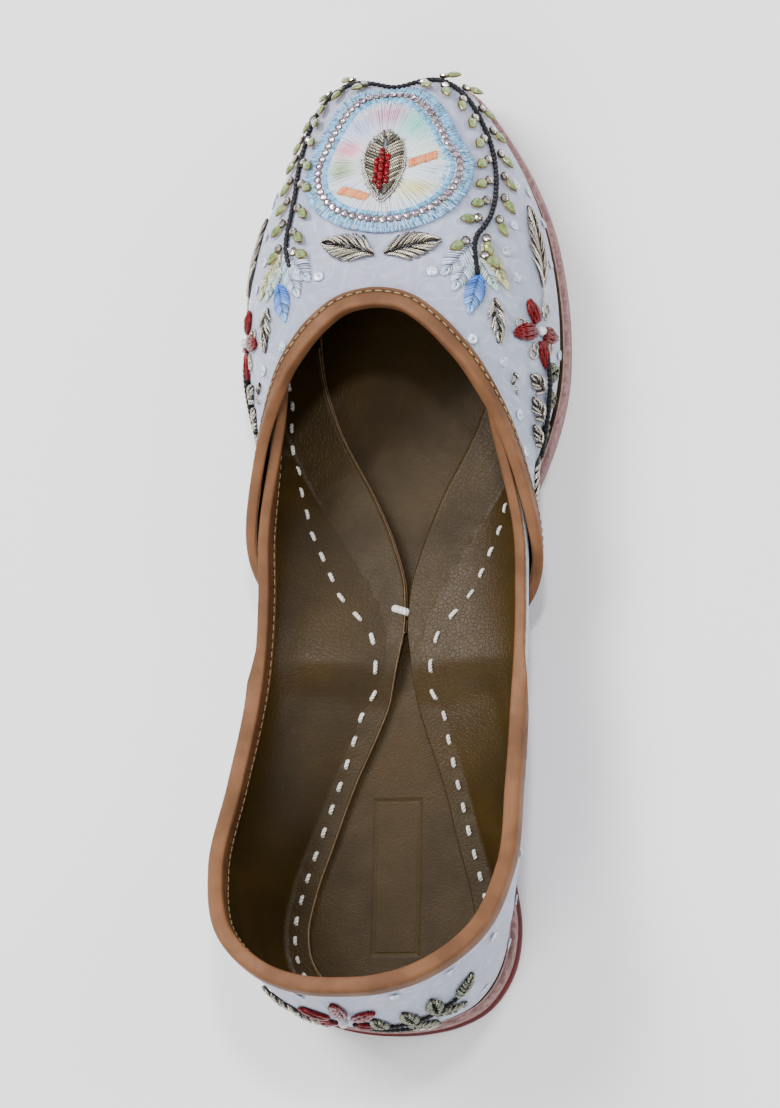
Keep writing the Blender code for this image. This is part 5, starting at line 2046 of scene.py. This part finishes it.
class JUTTI_OT_stage(bpy.types.Operator):
    """Set the floor, the soft lights and the camera"""

    bl_idname = "jutti.stage"
    bl_label = "Stage"

    def execute(self, context):
        made = context.scene.jutti_stage
        mesh = bpy.data.meshes.new("pale_floor")
        signs = ((-1, -1), (1, -1), (1, 1), (-1, 1))
        corners = [(x * FLOOR_HALF, y * FLOOR_HALF, 0) for x, y in signs]
        mesh.from_pydata(corners, [], [(0, 1, 2, 3)])
        mesh.materials.append(material("floor"))
        floor = bpy.data.objects.new("pale_floor", mesh)
        context.scene.collection.objects.link(floor)

        right, up, back = camera_axes()
        data = bpy.data.cameras.new("photo_camera")
        data.sensor_fit = "VERTICAL"
        data.sensor_height = SENSOR
        data.lens = SENSOR * CAMERA_DISTANCE / VIEW_HEIGHT
        at = right * VIEW_MIDDLE[0] + up * VIEW_MIDDLE[1] + back * CAMERA_DISTANCE
        context.scene.camera = stood_at("photo_camera", data, (right, up, back), at)

        for name, at, wide, share in LAMPS:
            lamp = bpy.data.lights.new(name, "AREA")
            lamp.energy = made.key_power * share
            lamp.size = wide
            stood_at(name, lamp, axes_toward(at, LAMP_TARGET), at)

        world = bpy.data.worlds.new("soft_surroundings")
        world.use_nodes = True
        sky = Nodes(world.node_tree)
        light = sky.tree.nodes["Background"].inputs
        light["Strength"].default_value = made.sky_strength
        height = sky.ramp(sky.split(sky.put("TexCoord").outputs["Generated"])[2], 0.15, 0.85)
        sky.feed(light["Color"], sky.mix(height, (0.1, 0.1, 0.11), (1.0, 1.0, 1.0)))
        context.scene.world = world
        return {"FINISHED"}


class JUTTI_PT_panel(bpy.types.Panel):
    """The shoe's sizes and colours, and its makers"""

    bl_idname = "JUTTI_PT_panel"
    bl_label = "Embroidered jutti"
    bl_space_type = "VIEW_3D"
    bl_region_type = "UI"
    bl_category = "Jutti"

    def draw(self, context):
        for group, _ in SETTINGS:
            box = self.layout.box()
            settings = getattr(context.scene, group)
            for name in settings.__annotations__:
                box.prop(settings, name)
        for operator in OPERATORS:
            self.layout.operator(operator.bl_idname)


SETTINGS = (
    ("jutti_upper", JuttiUpper), ("jutti_sole", JuttiSole), ("jutti_beads", JuttiBeads),
    ("jutti_stage", JuttiStage)
)
OPERATORS = (
    JUTTI_OT_stage, JUTTI_OT_sole, JUTTI_OT_upper, JUTTI_OT_bindings, JUTTI_OT_stitches,
    JUTTI_OT_medallion, JUTTI_OT_vines, JUTTI_OT_sprays, JUTTI_OT_sequins
)


def register():
    """Makes the settings, the operators and the panel known to Blender."""
    for name, group in SETTINGS:
        bpy.utils.register_class(group)
        setattr(bpy.types.Scene, name, PointerProperty(type=group))
    for operator in OPERATORS:
        bpy.utils.register_class(operator)
    bpy.utils.register_class(JUTTI_PT_panel)


def unregister():
    """Takes them out again."""
    bpy.utils.unregister_class(JUTTI_PT_panel)
    for operator in reversed(OPERATORS):
        bpy.utils.unregister_class(operator)
    for name, group in reversed(SETTINGS):
        delattr(bpy.types.Scene, name)
        bpy.utils.unregister_class(group)


def main():
    """Keeps only the imported nodes and bodies, then builds every piece in order."""
    kept = set(frame["nodes"].values()) | set(frame["bodies"].values())
    for obj in list(bpy.data.objects):
        if obj not in kept:
            bpy.data.objects.remove(obj, do_unlink=True)
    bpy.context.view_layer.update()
    register()
    for operator in OPERATORS:
        group, name = operator.bl_idname.split(".")
        getattr(getattr(bpy.ops, group), name)()
    bpy.context.view_layer.update()


if __name__ == "__main__":
    main()
